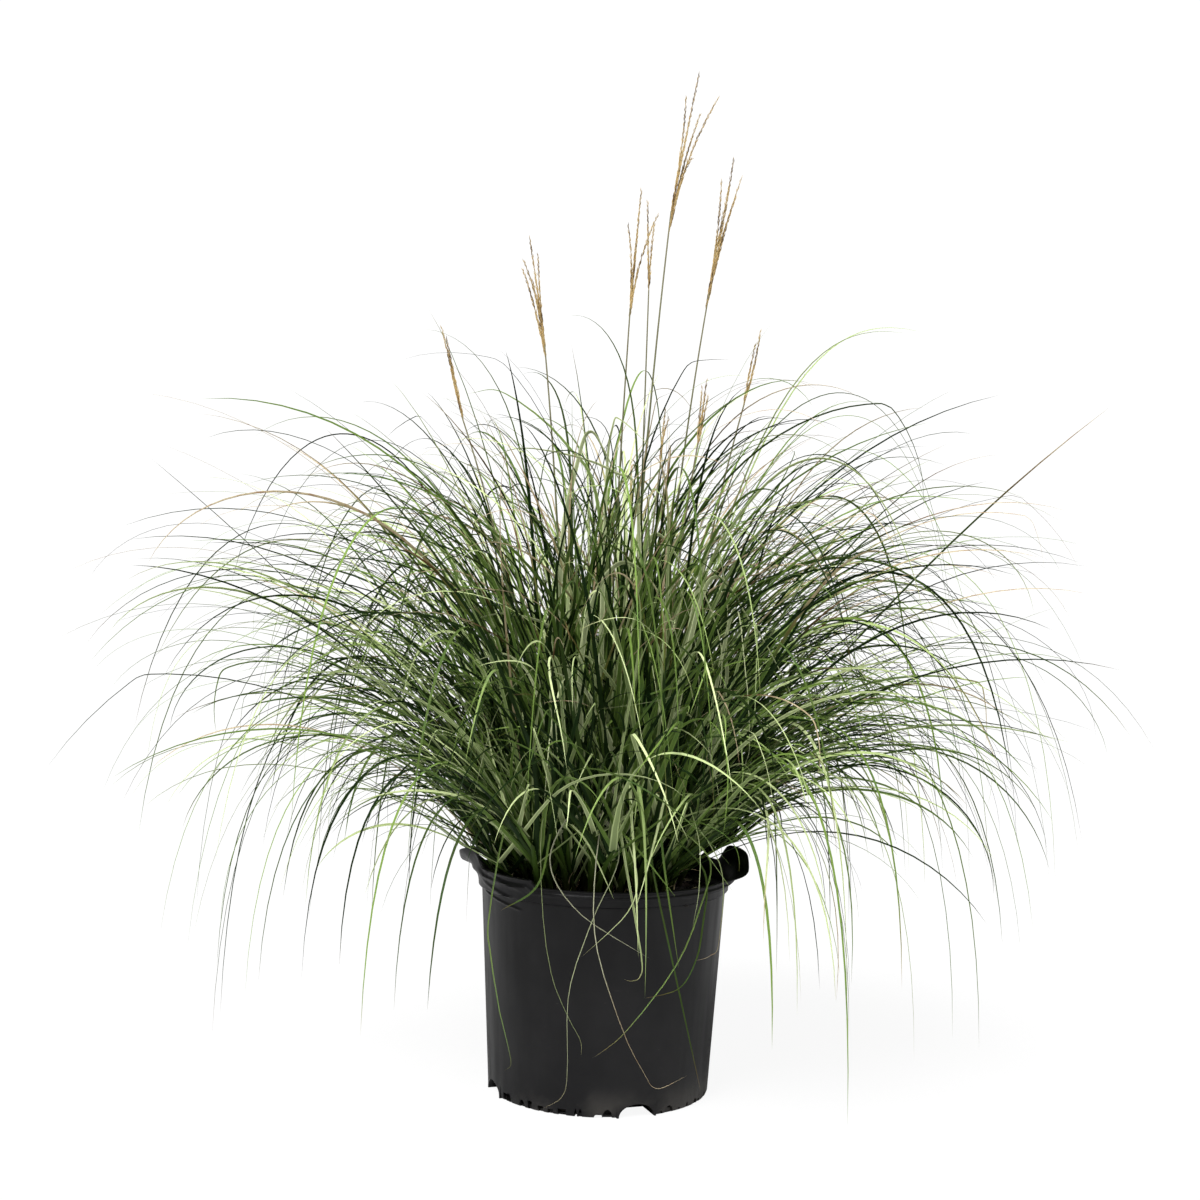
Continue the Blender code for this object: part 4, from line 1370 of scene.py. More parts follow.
ARCHES = (
    Arch(((-30, -120, 435), (-20, -140, 515), (10, -155, 555), (50, -175, 515), (85, -200, 405)), 6.2),
    Arch(((30, -120, 565), (70, -145, 550), (95, -165, 510), (105, -190, 455), (90, -200, 355))),
    Arch(((90, -120, 565), (110, -150, 525), (110, -175, 445), (115, -190, 390))),
    Arch(((90, -120, 530), (135, -150, 500), (170, -175, 440), (175, -190, 415))),
    Arch(((-60, -130, 440), (-80, -145, 445), (-110, -170, 405), (-130, -200, 315))),
    Arch(((-40, -140, 435), (-55, -170, 400), (-60, -200, 320))),
    Arch(((55, -120, 520), (75, -145, 505), (85, -170, 440), (80, -180, 390)), 4.0),
    Arch(((20, -100, 345), (23, -110, 430), (25, -120, 540), (40, -130, 620)), 8.0, 0.8),
    Arch(((25, -110, 310), (0, -130, 380), (-25, -150, 430), (-60, -170, 450)), 7.8),
    Arch(((115, -120, 455), (55, -160, 425), (-15, -200, 415)), 4.2),
    Arch(((65, -120, 310), (80, -140, 375), (95, -160, 410), (120, -180, 430)), 7.5, 0.5),
    Arch(((65, -130, 405), (95, -155, 380), (110, -180, 320)), 4.0),
    Arch(((-55, -20, 555), (-40, -20, 660), (-28, -25, 690), (-10, -30, 665), (25, -30, 600)), 7.2),
    Arch(((-10, -20, 620), (-5, -30, 695), (5, -30, 702), (40, -40, 670))),
    Arch(((-15, 0, 600), (-55, 0, 680), (-120, 0, 730), (-160, 0, 728)), 5.0, 0.8),
    Arch(((25, -30, 600), (-5, -35, 650), (-90, -45, 670), (-140, -50, 655)), 4.5),
    Arch(((-45, -80, 460), (-100, -100, 500), (-165, -120, 485)), 4.5),
    Arch(((-70, -120, 415), (-100, -130, 460), (-135, -160, 455)), 4.0),
    Arch(((115, -150, 505), (130, -165, 450), (135, -175, 385), (130, -190, 365)), 4.0),
    Arch(((135, -140, 495), (140, -165, 425), (135, -180, 390)), 3.5, 0.85),
    Arch(((25, -130, 495), (55, -175, 385), (85, -200, 320)), 3.0, 1.0, 0.1),
    Arch(((15, -100, 340), (20, -110, 390), (25, -120, 435), (20, -140, 500)), 7.5, 0.6),
    Arch(((35, -90, 490), (40, -100, 560), (55, -120, 600)), 6.0, 0.6),
    Arch(((50, -110, 325), (40, -115, 380), (25, -130, 465), (0, -150, 510)), 6.5, 0.7),
    Arch(((55, -110, 305), (60, -125, 385), (70, -130, 410), (90, -140, 440)), 8.0, 0.5),
    Arch(((70, -130, 410), (95, -150, 370), (105, -170, 315)), 3.5, 1.0, 0.3),
    Arch(((120, -140, 395), (130, -165, 360), (125, -180, 320)), 3.5, 0.8),
    Arch(((-60, -130, 375), (-80, -150, 345), (-90, -160, 320)), 4.0, 0.85),
    Arch(((-65, -130, 385), (-115, -155, 360), (-140, -170, 320)), 4.0, 0.8),
    Arch(((60, -50, 520), (120, -70, 590), (200, -90, 625)), 3.0, 0.6, 0.45),
    Arch(((70, -60, 500), (140, -80, 570), (230, -100, 610)), 3.0, 0.5, 0.50),
    Arch(((50, -40, 540), (100, -50, 620), (150, -60, 655)), 2.8, 0.7, 0.40),
    Arch(((80, -70, 500), (150, -100, 550), (220, -120, 570)), 3.0, 0.5, 0.42),
    Arch(((20, -60, 520), (60, -80, 590), (110, -100, 610)), 2.8, 0.6, 0.38),
    Arch(((-80, -80, 470), (-150, -110, 540), (-230, -140, 530)), 2.8, 0.6, 0.35),
    Arch(((20, -100, 360), (24, -135, 310), (30, -152, 250), (35, -155, 170)), 3.4, 0.95),
    Arch(((70, -110, 330), (90, -140, 290), (92, -155, 240), (86, -160, 200)), 3.4, 0.90),
    Arch(((60, -100, 360), (56, -130, 320), (42, -150, 260), (30, -155, 215)), 3.6, 0.95),
    Arch(((50, -110, 310), (60, -145, 245), (75, -155, 160)), 2.8, 0.45),
    Arch(((50, -90, 300), (90, -130, 280), (127, -150, 235)), 3.6, 0.80),
    Arch(((-60, -90, 310), (-20, -130, 280), (10, -150, 225)), 3.4, 0.90),
    Arch(((0, -100, 300), (30, -135, 275), (70, -150, 230)), 3.6, 0.60),
)


@dataclass(frozen=True)
class Growth:
    """How a kind of blade grows, in metres and degrees.

    Lean and bend are a mean and its spread, and late, reach, highest and lowest are each a range. Late is
    how near to the tip the bend comes, astray the share that grows any way and broad the share of broad
    blades. Count is how many a tuft has in the crown's middle, outwards how many more it has at the
    crown's edge, and rightwards the share of what the fuller right side adds.
    """

    lean: tuple[float, float]
    bend: tuple[float, float]
    late: tuple[float, float]
    reach: tuple[float, float]
    highest: tuple[float, float]
    lowest: tuple[float, float]
    astray: float
    count: int
    outwards: int
    rightwards: float = 0.0
    broad: float = 0.05
    longest: float = 0.80
    shortest: float = 0.16


ARCHING = Growth(
    lean=(4.0, 10.0),
    bend=(84.0, 24.0),
    late=(1.4, 2.9),
    reach=(0.22, 0.52),
    highest=(0.55, 0.74),
    lowest=(0.08, 0.34),
    astray=0.14,
    count=24,
    outwards=5,
    rightwards=1.0,
)
TALL = Growth(
    lean=(-5.0, 10.0),
    bend=(98.0, 34.0),
    late=(2.4, 4.6),
    reach=(0.05, 0.30),
    highest=(0.62, 0.81),
    lowest=(0.40, 0.66),
    astray=0.35,
    count=22,
    outwards=-15,
    rightwards=0.4,
)
UPRIGHT = Growth(
    lean=(-2.0, 9.0),
    bend=(80.0, 35.0),
    late=(1.8, 3.6),
    reach=(0.05, 0.20),
    highest=(0.46, 0.64),
    lowest=(0.26, 0.42),
    astray=0.30,
    count=6,
    outwards=-2,
    broad=0.45,
)


@dataclass
class BladeMaker:
    """Lays blades and sheaths into one joined mesh.

    Clearance is how far a blade stays off the can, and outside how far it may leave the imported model's box.
    Longest_step and widest_turn, in radians, space its rings. Broad_base, base_share, narrowing and point
    shape its outline.
    """

    can: NurseryCan
    mesh: JoinedMesh = field(default_factory=lambda: JoinedMesh("along", "rib", "tone", "dryness"))
    rib: tuple[float, ...] = (0.0, 1.0, 0.0, -1.0)
    clearance: float = 0.0035
    lowest: float = 0.004
    longest_step: float = 0.062
    widest_turn: float = 0.15
    fewest_rings: int = 8
    most_rings: int = 40
    outside: float = 0.018
    broad_base: float = 1.5
    base_share: float = 0.20
    narrowing: float = 0.55
    point: float = 0.7
    sheath_sides: int = 7
    sheath_flat: float = 0.62

    def fitted(self, line: np.ndarray) -> np.ndarray:
        """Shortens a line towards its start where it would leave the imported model's box.

        Args:
            line: The blade's way.

        Returns:
            The line, or a smaller one like it.
        """
        low, high = (np.array(corner) for corner in packed_box)
        ways = line - line[0]
        room = np.where(ways > 0.0, high + self.outside - line[0], line[0] - low + self.outside)
        return line[0] + ways * min(1.0, float((room / np.maximum(np.abs(ways), 1e-6)).min()))

    def stations(self, line: np.ndarray) -> np.ndarray:
        """Where along a blade its rings stand, close together where it bends.

        Args:
            line: The blade's way.

        Returns:
            The rings' shares of its length.
        """
        ways = np.diff(line, axis=0)
        steps = np.linalg.norm(ways, axis=1)
        ways /= np.maximum(steps, 1e-9)[:, None]
        turns = np.arccos(np.clip((ways[1:] * ways[:-1]).sum(1), -1.0, 1.0))
        effort = steps / self.longest_step
        effort[1:] += 0.5 * turns / self.widest_turn
        effort[:-1] += 0.5 * turns / self.widest_turn
        worked = np.concatenate(([0.0], np.cumsum(effort)))
        count = int(np.clip(math.ceil(worked[-1]), self.fewest_rings, self.most_rings))
        along = lengths_along(line)
        return np.interp(np.linspace(0.0, worked[-1], count + 1), worked, along / along[-1])

    def lay_blade(
        self,
        line: np.ndarray,
        width: float,
        tone: float,
        dryness: float,
        twist: float,
        fold: float = 0.34,
        blunt: float = 1.0,
        heading: Place | None = None,
    ) -> None:
        """Adds a closed, thin, folded blade that tapers to a point.

        Args:
            line: The blade's way, collar first.
            width: Its full width at its widest.
            tone: From 0, deep green, over fresh green to 1, pale, and 1.2, bleached.
            dryness: Share of it that is dry, from the tip down, with less than 0 for none.
            twist: Turn from collar to tip, in radians.
            fold: How high its edges stand over its midrib, in half widths, at the collar.
            blunt: The higher, the nearer to its tip it starts to narrow.
            heading: Which way its flat side looks at its collar, or the way that it grows.
        """
        line = self.can.keep_clear(self.fitted(line), self.clearance)
        line[:, 2] = np.maximum(line[:, 2], self.lowest)
        shares = self.stations(line)
        line = at_shares(line, shares)
        side, upper = carried_frame(line, heading)
        flare = 1.0 + (self.broad_base - 1.0) * np.exp(-((shares / self.base_share) ** 2))
        half = 0.5 * width * flare * (1.0 - self.narrowing * shares**blunt)
        half *= np.maximum(1.0 - shares**4, 0.0) ** self.point
        turn = twist * shares**1.3
        sin, cos = np.sin(turn)[:, None], np.cos(turn)[:, None]
        side, upper = cos * side + sin * upper, cos * upper - sin * side
        edge = upper * (fold * (1.0 - 0.6 * shares) * half)[:, None]
        thick = upper * (0.00010 + 0.085 * half)[:, None]
        wide = side * half[:, None]
        rows = np.stack((line + wide + edge, line + thick, line - wide + edge, line - thick), 1)
        points = np.vstack((rows[:-1].reshape(-1, 3), line[-1]))
        rings = len(line) - 1
        self.mesh.add(
            points,
            ring_faces(rings, 4, True),
            along=np.append(np.repeat(shares[:-1], 4), 1.0),
            rib=np.append(np.tile(self.rib, rings), 0.0),
            tone=tone,
            dryness=dryness,
        )

    def lay_sheath(self, line: np.ndarray, foot: float, top: float, tone: float) -> None:
        """Adds a shoot of rolled leaf bases: a flattened tube that narrows upwards.

        Args:
            line: Its way, foot first.
            foot: Its half width at the foot.
            top: Its half width at the top.
            tone: As for a blade.
        """
        shares = np.array((0.0, 0.06, 0.25, 0.5, 0.75, 0.96, 1.0))
        half = foot + (top - foot) * shares
        half[0] *= 0.85
        half[-1] *= 0.55
        points = tube_points(at_shares(line, shares), half, self.sheath_sides, self.sheath_flat)
        faces = ring_faces(len(shares), self.sheath_sides, False)
        along = np.repeat(shares - 1.0, self.sheath_sides)
        self.mesh.add(points, faces, along=along, rib=0.0, tone=tone, dryness=0.0)


@dataclass
class LeafTuft:
    """One tuft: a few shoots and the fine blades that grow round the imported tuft's leaves.

    Sizes are in metres and turns in degrees. A pair is a range to draw from, and shares and odds say how
    often. Blades that would hang over the can's front, below a line that front_half_width, front_height
    and front_slope give, are turned up or left out.
    """

    number: int
    foot: np.ndarray
    guides: list[Guide]
    crown: Crown
    can: NurseryCan
    trails: dict[int, Trail] = field(default_factory=dict)
    arches: list[Arch] = field(default_factory=list)
    shoot_count: int = 3
    shoot_apart: tuple[float, float] = (0.006, 0.013)
    papery_share: float = 0.4
    blades_per_guide: int = 4
    shorter: tuple[float, float] = (0.5, 0.97)
    aside: float = 15.0
    outer_spread: float = 26.0
    inner_spread: float = 86.0
    drift: float = 0.45
    width: float = 0.0040
    front: Place = (0.0, -1.0, 0.0)
    fuller_right: float = 13.0
    wider_right: float = -0.03
    sway: float = 0.012
    twist: float = 1.1
    widths: tuple[float, float] = (0.0026, 0.0056)
    broad_widths: tuple[float, float] = (0.0050, 0.0066)
    broad_tones: tuple[float, float] = (0.2, 0.70)
    tones: tuple[tuple[float, float], ...] = ((0.0, 0.28), (0.3, 0.70), (0.72, 1.0))
    tone_odds: tuple[float, ...] = (0.42, 0.26, 0.32)
    ages: tuple[tuple[float, float], ...] = ((-0.25, -0.03), (0.0, 0.30))
    dead: float = 1.2
    dryness_odds: tuple[float, ...] = (0.92, 0.07, 0.01)
    dry_from: float = 0.48
    dry_share: float = 0.22
    dry_tips: tuple[float, float] = (0.10, 0.50)
    kink_share: float = 0.07
    kinks: tuple[float, float] = (25.0, 70.0)
    kink_places: tuple[float, float] = (0.76, 0.93)
    front_half_width: float = 0.140
    front_height: float = 0.230
    front_slope: float = 0.165

    def shoots(self, rng: np.random.Generator) -> list[np.ndarray]:
        """Lays out the tuft's shoots.

        Args:
            rng: The tuft's random numbers.

        Returns:
            The shoots' lines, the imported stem's first.
        """
        lines = [self.crown.stem(self.foot)]
        for _ in range(self.shoot_count - 1):
            angle, away = rng.uniform(0.0, 2.0 * math.pi), rng.uniform(*self.shoot_apart)
            foot = self.foot + np.array((away * math.cos(angle), away * math.sin(angle), -0.002))
            turn, size, lean_more = rng.normal(0.0, 16.0), rng.uniform(0.5, 1.0), rng.normal(0.0, 6.0)
            lines.append(self.crown.stem(foot, turn, size, lean_more))
        return lines

    def hides_can(self, line: np.ndarray) -> bool:
        """Whether a blade hangs over the can's front, seen from where the photograph was taken."""
        before = (line[:, 1] < -0.08) & (np.abs(line[:, 0]) < self.front_half_width)
        return bool((before & (line[:, 2] < self.front_height - self.front_slope * line[:, 1])).any())

    def varied(self, rng: np.random.Generator, guide: Guide, shoots: list[np.ndarray]) -> np.ndarray:
        """A blade like a guide's but shorter, turned aside and from a collar of its own.

        Args:
            rng: The tuft's random numbers.
            guide: The leaf that it grows beside.
            shoots: The shoots that it may grow from.

        Returns:
            The blade's line.
        """
        shoot = shoots[rng.integers(len(shoots))]
        collar = at_shares(shoot, rng.uniform(0.35, 0.98))
        size = rng.uniform(*self.shorter)
        turn = Matrix.Rotation(math.radians(rng.normal(0.0, self.aside)), 2)
        across = size * np.array(turn @ Vector(guide.tip[:2] - collar[:2]))
        tip = np.array((*(collar[:2] + across), 0.0))
        if guide.habit is Habit.RISING:
            tip[2] = collar[2] + (guide.tip[2] - collar[2]) * size * rng.uniform(0.8, 1.05)
            return arc_points(collar, tip, tip[2], Habit.RISING)
        peak = collar[2] + max(guide.peak - collar[2], 0.03) * size**0.6 * rng.uniform(0.85, 1.05)
        tip[2] = peak - (guide.peak - guide.tip[2]) * size**1.4 * rng.uniform(0.5, 1.1)
        return arc_points(collar, tip, peak, Habit.ARCHING)

    def free(self, rng: np.random.Generator, shoots: list[np.ndarray], growth: Growth) -> np.ndarray:
        """A blade of its own way: it leaves its collar at a slant and bends over under its weight.

        Args:
            rng: The tuft's random numbers.
            shoots: The shoots that it may grow from.
            growth: Its kind.

        Returns:
            The blade's line.
        """
        collar = at_shares(shoots[rng.integers(len(shoots))], rng.uniform(0.10, 1.0))
        share, outward = self.crown.share(self.foot)
        spread = self.outer_spread + (self.inner_spread - self.outer_spread) * (1.0 - share)
        heading = outward + math.radians(rng.normal(0.0, spread))
        if rng.uniform() < growth.astray:
            heading = rng.uniform(0.0, 2.0 * math.pi)
        lean = max(self.crown.lean(share) + math.radians(rng.normal(*growth.lean)), 0.02)
        bend = math.radians(rng.normal(*growth.bend))
        power, drift = rng.uniform(*growth.late), rng.normal(0.0, self.drift)
        kink = math.radians(rng.uniform(*self.kinks)) if rng.uniform() < self.kink_share else 0.0
        kinked = rng.uniform(*self.kink_places)
        reach = rng.uniform(*growth.reach) * (1.0 + self.wider_right * math.cos(heading))
        highest = rng.uniform(*growth.highest)
        lowest = rng.uniform(*growth.lowest)
        t = np.linspace(0.0, 1.0, ARC_POINTS)
        for _ in range(12):
            angles = lean + bend * t**power + kink * (t > kinked)
            headings = heading + drift * t**1.5
            out, up = np.sin(angles), np.cos(angles)
            ways = np.column_stack((out * np.cos(headings), out * np.sin(headings), up))
            steps = 0.5 * (ways[1:] + ways[:-1])
            line = np.vstack((np.zeros(3), np.cumsum(steps, axis=0) / len(steps)))
            across = float(np.hypot(line[-1, 0], line[-1, 1]))
            length = (reach - self.crown.radius * share) / max(across, 0.15)
            length = min(length, (highest - collar[2]) / max(float(line[:, 2].max()), 0.05))
            line = collar + line * min(max(length, growth.shortest), growth.longest)
            if line[-1, 2] > lowest and not self.hides_can(line):
                break
            bend, reach = 0.88 * bend, 0.94 * reach
        return line

    def lay_shoots(self, rng: np.random.Generator, maker: BladeMaker, shoots: list[np.ndarray]) -> None:
        """Adds the shoots, and the dead papery sheath bases round their feet.

        Args:
            rng: The tuft's random numbers.
            maker: What lays them.
            shoots: The shoots' lines.
        """
        for index, shoot in enumerate(shoots):
            foot = rng.uniform(0.0032, 0.0046) if index else 0.0045
            maker.lay_sheath(shoot, foot, rng.uniform(0.0014, 0.0022), rng.beta(1.2, 3.0))
            if rng.uniform() < self.papery_share:
                heading = rng.uniform(0.0, 2.0 * math.pi)
                start = at_shares(shoot, 0.02)
                out = np.array((math.cos(heading), math.sin(heading), 0.0))
                length = rng.uniform(0.02, 0.06)
                tip = start + out * length * 0.55 + np.array((0.0, 0.0, length * rng.uniform(0.3, 0.8)))
                line = bent_points(start + out * 0.003, tip, length * 0.5)
                maker.lay_blade(line, rng.uniform(0.0020, 0.0042), 0.3, 1.4, rng.normal(0.0, 1.0), 0.8)

    def lay_common(
        self, rng: np.random.Generator, maker: BladeMaker, line: np.ndarray, broad: float = 0.06
    ) -> None:
        """Adds an ordinary blade, with a width, tone, age and twist by chance.

        Args:
            rng: The tuft's random numbers.
            maker: What lays the blade.
            line: Its way.
            broad: How likely it is to be a broad one.
        """
        width = float(np.clip(rng.normal(self.width, 0.0007), *self.widths))
        tones = [rng.uniform(*span) for span in self.tones]
        ages = [rng.uniform(*span) for span in self.ages] + [self.dead]
        tone, dryness = rng.choice(tones, p=self.tone_odds), rng.choice(ages, p=self.dryness_odds)
        if line[-1, 2] > self.dry_from and rng.uniform() < self.dry_share:
            dryness = rng.uniform(*self.dry_tips)
        if dryness < 0.0 and rng.uniform() < broad:
            width, tone = rng.uniform(*self.broad_widths), min(tone, rng.uniform(*self.broad_tones))
        line = swayed(rng, line, self.sway)
        maker.lay_blade(line, width, tone, dryness, rng.normal(0.0, self.twist))

    def build(self, finish: bpy.types.Material) -> bpy.types.Object:
        """Makes the tuft and dresses it.

        Args:
            finish: The grass material.

        Returns:
            The tuft's object.
        """
        rng = np.random.default_rng(LAYOUT_SEED + 100 + self.number)
        maker = BladeMaker(self.can)
        shoots = self.shoots(rng)
        self.lay_shoots(rng, maker, shoots)
        for index, guide in enumerate(self.guides):
            trail = self.trails.get(index)
            if trail:
                line = trail.route(guide.collar)
                width = metres(trail.width)
                maker.lay_blade(line, width, trail.tone, trail.dryness, 0.0, 0.5, 9.0, self.front)
                continue
            line = arc_points(guide.collar, guide.tip, guide.peak, guide.habit)
            width = self.width * rng.uniform(0.85, 1.15)
            maker.lay_blade(line, width, rng.beta(2.0, 2.0), rng.uniform(-0.2, 0.0), rng.normal(0.0, 0.6))
            for _ in range(self.blades_per_guide - 1):
                line = self.varied(rng, guide, shoots)
                if not self.hides_can(line):
                    self.lay_common(rng, maker, line)
        share, outward = self.crown.share(self.foot)
        fuller = self.fuller_right * share * math.cos(outward)
        for growth in (ARCHING, TALL, UPRIGHT):
            for _ in range(round(growth.count + growth.outwards * share + growth.rightwards * fuller)):
                line = self.free(rng, shoots, growth)
                if not self.hides_can(line):
                    self.lay_common(rng, maker, line, growth.broad)
        for arch in self.arches:
            line = smooth_route(np.vstack((at_shares(shoots[0], 0.6), metres(arch.places))))
            width, twist = metres(arch.width), rng.normal(0.0, 0.3)
            maker.lay_blade(line, width, arch.tone, arch.dryness, twist, 0.34, 2.5, self.front)
        tuft = maker.mesh.to_object(f"grass_tuft_{self.number:02d}")
        dress(tuft, finish, Slot.LEAF, f"leaf_tuft_{self.number:02d}")
        return tuft


@dataclass
class Clump:
    """All the tufts of the plant."""

    can: NurseryCan
    crown: Crown = field(default_factory=Crown)
    tufts: list[LeafTuft] = field(default_factory=list)

    def read(self) -> None:
        """Reads every packed tuft, and gives each trail and front arch to the tuft nearest to it."""
        names = sorted(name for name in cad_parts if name.startswith("leaf_tuft_"))
        for name in names:
            foot, guides = self.crown.read_tuft(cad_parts[name])
            self.tufts.append(LeafTuft(int(name[-2:]), foot, guides, self.crown, self.can))
        leaves = [(tuft, index) for tuft in self.tufts for index in range(len(tuft.guides))]
        LOG.info("%d tufts with %d solid leaves", len(self.tufts), len(leaves))
        for trail in TRAILS:
            end = trail.knots()[-1]
            tuft, index = min(leaves, key=lambda leaf: np.linalg.norm(leaf[0].guides[leaf[1]].tip - end))
            tuft.trails[index] = trail
            leaves.remove((tuft, index))
            apart = 1000.0 * np.linalg.norm(tuft.guides[index].tip - end)
            LOG.info("trail ends %.0f mm from its solid", apart)
        for arch in ARCHES:
            start = 0.5 * metres(arch.places[0][:2])
            tuft = min(self.tufts, key=lambda one: np.hypot(*(one.foot[:2] - start)))
            tuft.arches.append(arch)

    def build(self) -> None:
        """Makes every tuft."""
        finish = GrassFinish().material()
        for tuft in self.tufts:
            tuft.build(finish)


# Culms


@dataclass(frozen=True)
class Plume:
    """Where a culm's plume starts, and where its racemes end, in millimetres."""

    foot: Place
    tips: tuple[Place, ...]


PLUMES = (
    Plume((-79, 0, 782), ((-98, 0, 894), (-103, -6, 868), (-89, 6, 878), (-105, 8, 862), (-94, 0, 850))),
    Plume((10, 0, 823), ((18, 0, 947), (5, 4, 911), (36, -3, 921), (16, -6, 915))),
    Plume((30, 50, 850), ((26, 50, 945), (34, 50, 922))),
    Plume((50, 0, 926), ((75, 0, 1071), (62, 4, 1047), (96, -4, 1045), (78, 8, 1030), (70, -4, 981))),
    Plume((94, 30, 845), ((116, 30, 990), (104, 34, 967), (125, 26, 969), (120, 34, 950), (112, 24, 960))),
    Plume((-164, 0, 704), ((-188, 0, 797), (-183, 3, 786), (-180, -3, 770))),
    Plume((137, 50, 731), ((152, 50, 810), (147, 52, 795))),
    Plume((83, -50, 680), ((90, -50, 745), (86, -46, 738), (92, -54, 728))),
    Plume((46, -30, 660), ((49, -30, 716), (53, -30, 706))),
)


@dataclass
class FlowerCulm:
    """One culm: a jointed stalk and a plume of thin racemes with their spikelets.

    Joints are shares of the stalk's height, and raceme_step is the share between two racemes' feet.
    """

    number: int
    plume: Plume
    foot_radius: float = 0.0016
    top_radius: float = 0.0008
    raceme_radius: float = 0.0006
    raceme_step: float = 0.009
    spikelet_step: float = 0.0020
    spikelet_length: float = 0.0092
    spikelet_radius: float = 0.00082
    joints: tuple[float, ...] = (0.16, 0.40, 0.66)
    joint_swell: float = 0.45
    joint_half: float = 0.006
    golden_angle: float = 137.5
    stalk_sides: int = 6

    def stalk_line(self) -> np.ndarray:
        """The stalk's way from its packed foot to the foot of its plume.

        Returns:
            Its points, foot first.
        """
        places = corners_of(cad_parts[f"flower_culm_{self.number:02d}"])
        foot = np.unique(np.round(places[places[:, 2] < places[:, 2].min() + 1e-4], 5), axis=0).mean(0)
        top = metres(self.plume.foot)
        return bent_points(foot, top, 0.5 * (top[2] - foot[2]), 40)

    def lay_tube(
        self,
        mesh: JoinedMesh,
        line: np.ndarray,
        radii: np.ndarray,
        along: np.ndarray,
        tone: float,
        husk: float,
    ) -> None:
        """Adds a round stalk or thread.

        Args:
            mesh: The mesh that it goes into.
            line: Its middle.
            radii: Its radius at each point.
            along: Each point's place along the culm, from 0 to 1.
            tone: How golden a husk is.
            husk: From 0, a green stalk, to 1, a husk.
        """
        faces = ring_faces(len(line), self.stalk_sides, False)
        along = np.repeat(along, self.stalk_sides)
        mesh.add(tube_points(line, radii, self.stalk_sides), faces, along=along, tone=tone, husk=husk)

    def lay_stalk(self, mesh: JoinedMesh, line: np.ndarray) -> None:
        """Adds the stalk, a little swollen at its joints.

        Args:
            mesh: The mesh that it goes into.
            line: Its way.
        """
        near_joints = [joint + aside for joint in self.joints for aside in (-0.008, 0.0, 0.008)]
        shares = np.unique(np.concatenate((np.linspace(0.0, 1.0, 22), near_joints)))
        radii = self.foot_radius + (self.top_radius - self.foot_radius) * shares
        for joint in self.joints:
            radii = radii * (1.0 + self.joint_swell * np.exp(-(((shares - joint) / self.joint_half) ** 2)))
        self.lay_tube(mesh, at_shares(line, shares), radii, shares, 0.5, 0.0)

    def lay_raceme(self, rng: np.random.Generator, mesh: JoinedMesh, line: np.ndarray) -> None:
        """Adds one raceme: a thread of an axis with spikelets pressed to it, turn by turn.

        Args:
            rng: The culm's random numbers.
            mesh: The mesh that it goes into.
            line: The raceme's way.
        """
        shares = np.linspace(0.0, 1.0, 10)
        radii = self.raceme_radius * (1.0 - 0.6 * shares)
        self.lay_tube(mesh, at_shares(line, shares), radii, np.ones(10), 0.6, 0.6)
        length = lengths_along(line)[-1]
        count = int(length / self.spikelet_step)
        side, upper = carried_frame(line)
        stretches, ripest = rng.uniform(2.0, 4.0), rng.uniform(0.0, 2.0 * math.pi)
        corners = np.radians((45, 135, 225, 315))
        faces = [(0, 1, 2), (0, 2, 3), (0, 3, 4), (0, 4, 1), (5, 2, 1), (5, 3, 2), (5, 4, 3), (5, 1, 4)]
        for index in range(3, count):
            share = index / count
            centre = at_shares(line, share)
            near = min(int(share * (len(line) - 1)), len(line) - 2)
            tangent = line[near + 1] - line[near]
            tangent /= np.linalg.norm(tangent)
            angle = index * math.radians(self.golden_angle) + rng.normal(0.0, 0.4)
            out = math.cos(angle) * side[near] + math.sin(angle) * upper[near]
            way = tangent + out * rng.uniform(0.02, 0.13)
            way /= np.linalg.norm(way)
            size = (1.0 - 0.45 * share) * rng.uniform(0.85, 1.1)
            long, wide = self.spikelet_length * size, self.spikelet_radius * size
            across = np.cross(way, out)
            across /= np.linalg.norm(across)
            out = np.cross(across, way)
            start = centre + out * self.raceme_radius
            belly = start + way * long * 0.42
            ring = [belly + wide * (math.cos(a) * out + 0.8 * math.sin(a) * across) for a in corners]
            points = np.array((start, *ring, start + way * long))
            tone = 0.5 + 0.4 * math.sin(ripest + stretches * math.pi * share) + rng.normal(0.0, 0.15)
            mesh.add(points, faces, along=1.0, tone=tone, husk=1.0)

    def raceme_line(self, rng: np.random.Generator, stalk: np.ndarray, index: int) -> np.ndarray:
        """The way of one raceme: along the plume's middle at first, then bending aside to its tip.

        Args:
            rng: The culm's random numbers.
            stalk: The stalk's line.
            index: Which raceme it is, 0 at the stalk's top.

        Returns:
            Its points, foot first.
        """
        start = at_shares(stalk, 1.0 - self.raceme_step * index)
        foot, highest, tip = metres((self.plume.foot, self.plume.tips[0], self.plume.tips[index]))
        middle = foot + 0.5 * (highest - foot)
        handle = 0.62 * middle + 0.38 * (0.5 * (start + tip)) + rng.normal(0.0, 0.0015, 3)
        t = np.linspace(0.0, 1.0, 24)[:, None]
        return (1.0 - t) ** 2 * start + 2.0 * t * (1.0 - t) * handle + t**2 * tip

    def build(self, finish: bpy.types.Material) -> bpy.types.Object:
        """Makes the culm and dresses it.

        Args:
            finish: The straw material.

        Returns:
            The culm's object.
        """
        rng = np.random.default_rng(LAYOUT_SEED + 200 + self.number)
        mesh = JoinedMesh("along", "tone", "husk")
        stalk = self.stalk_line()
        self.lay_stalk(mesh, stalk)
        for index in range(len(self.plume.tips)):
            self.lay_raceme(rng, mesh, self.raceme_line(rng, stalk, index))
        culm = mesh.to_object(f"plumed_culm_{self.number:02d}")
        dress(culm, finish, Slot.STRAW, f"flower_culm_{self.number:02d}")
        return culm


# Studio


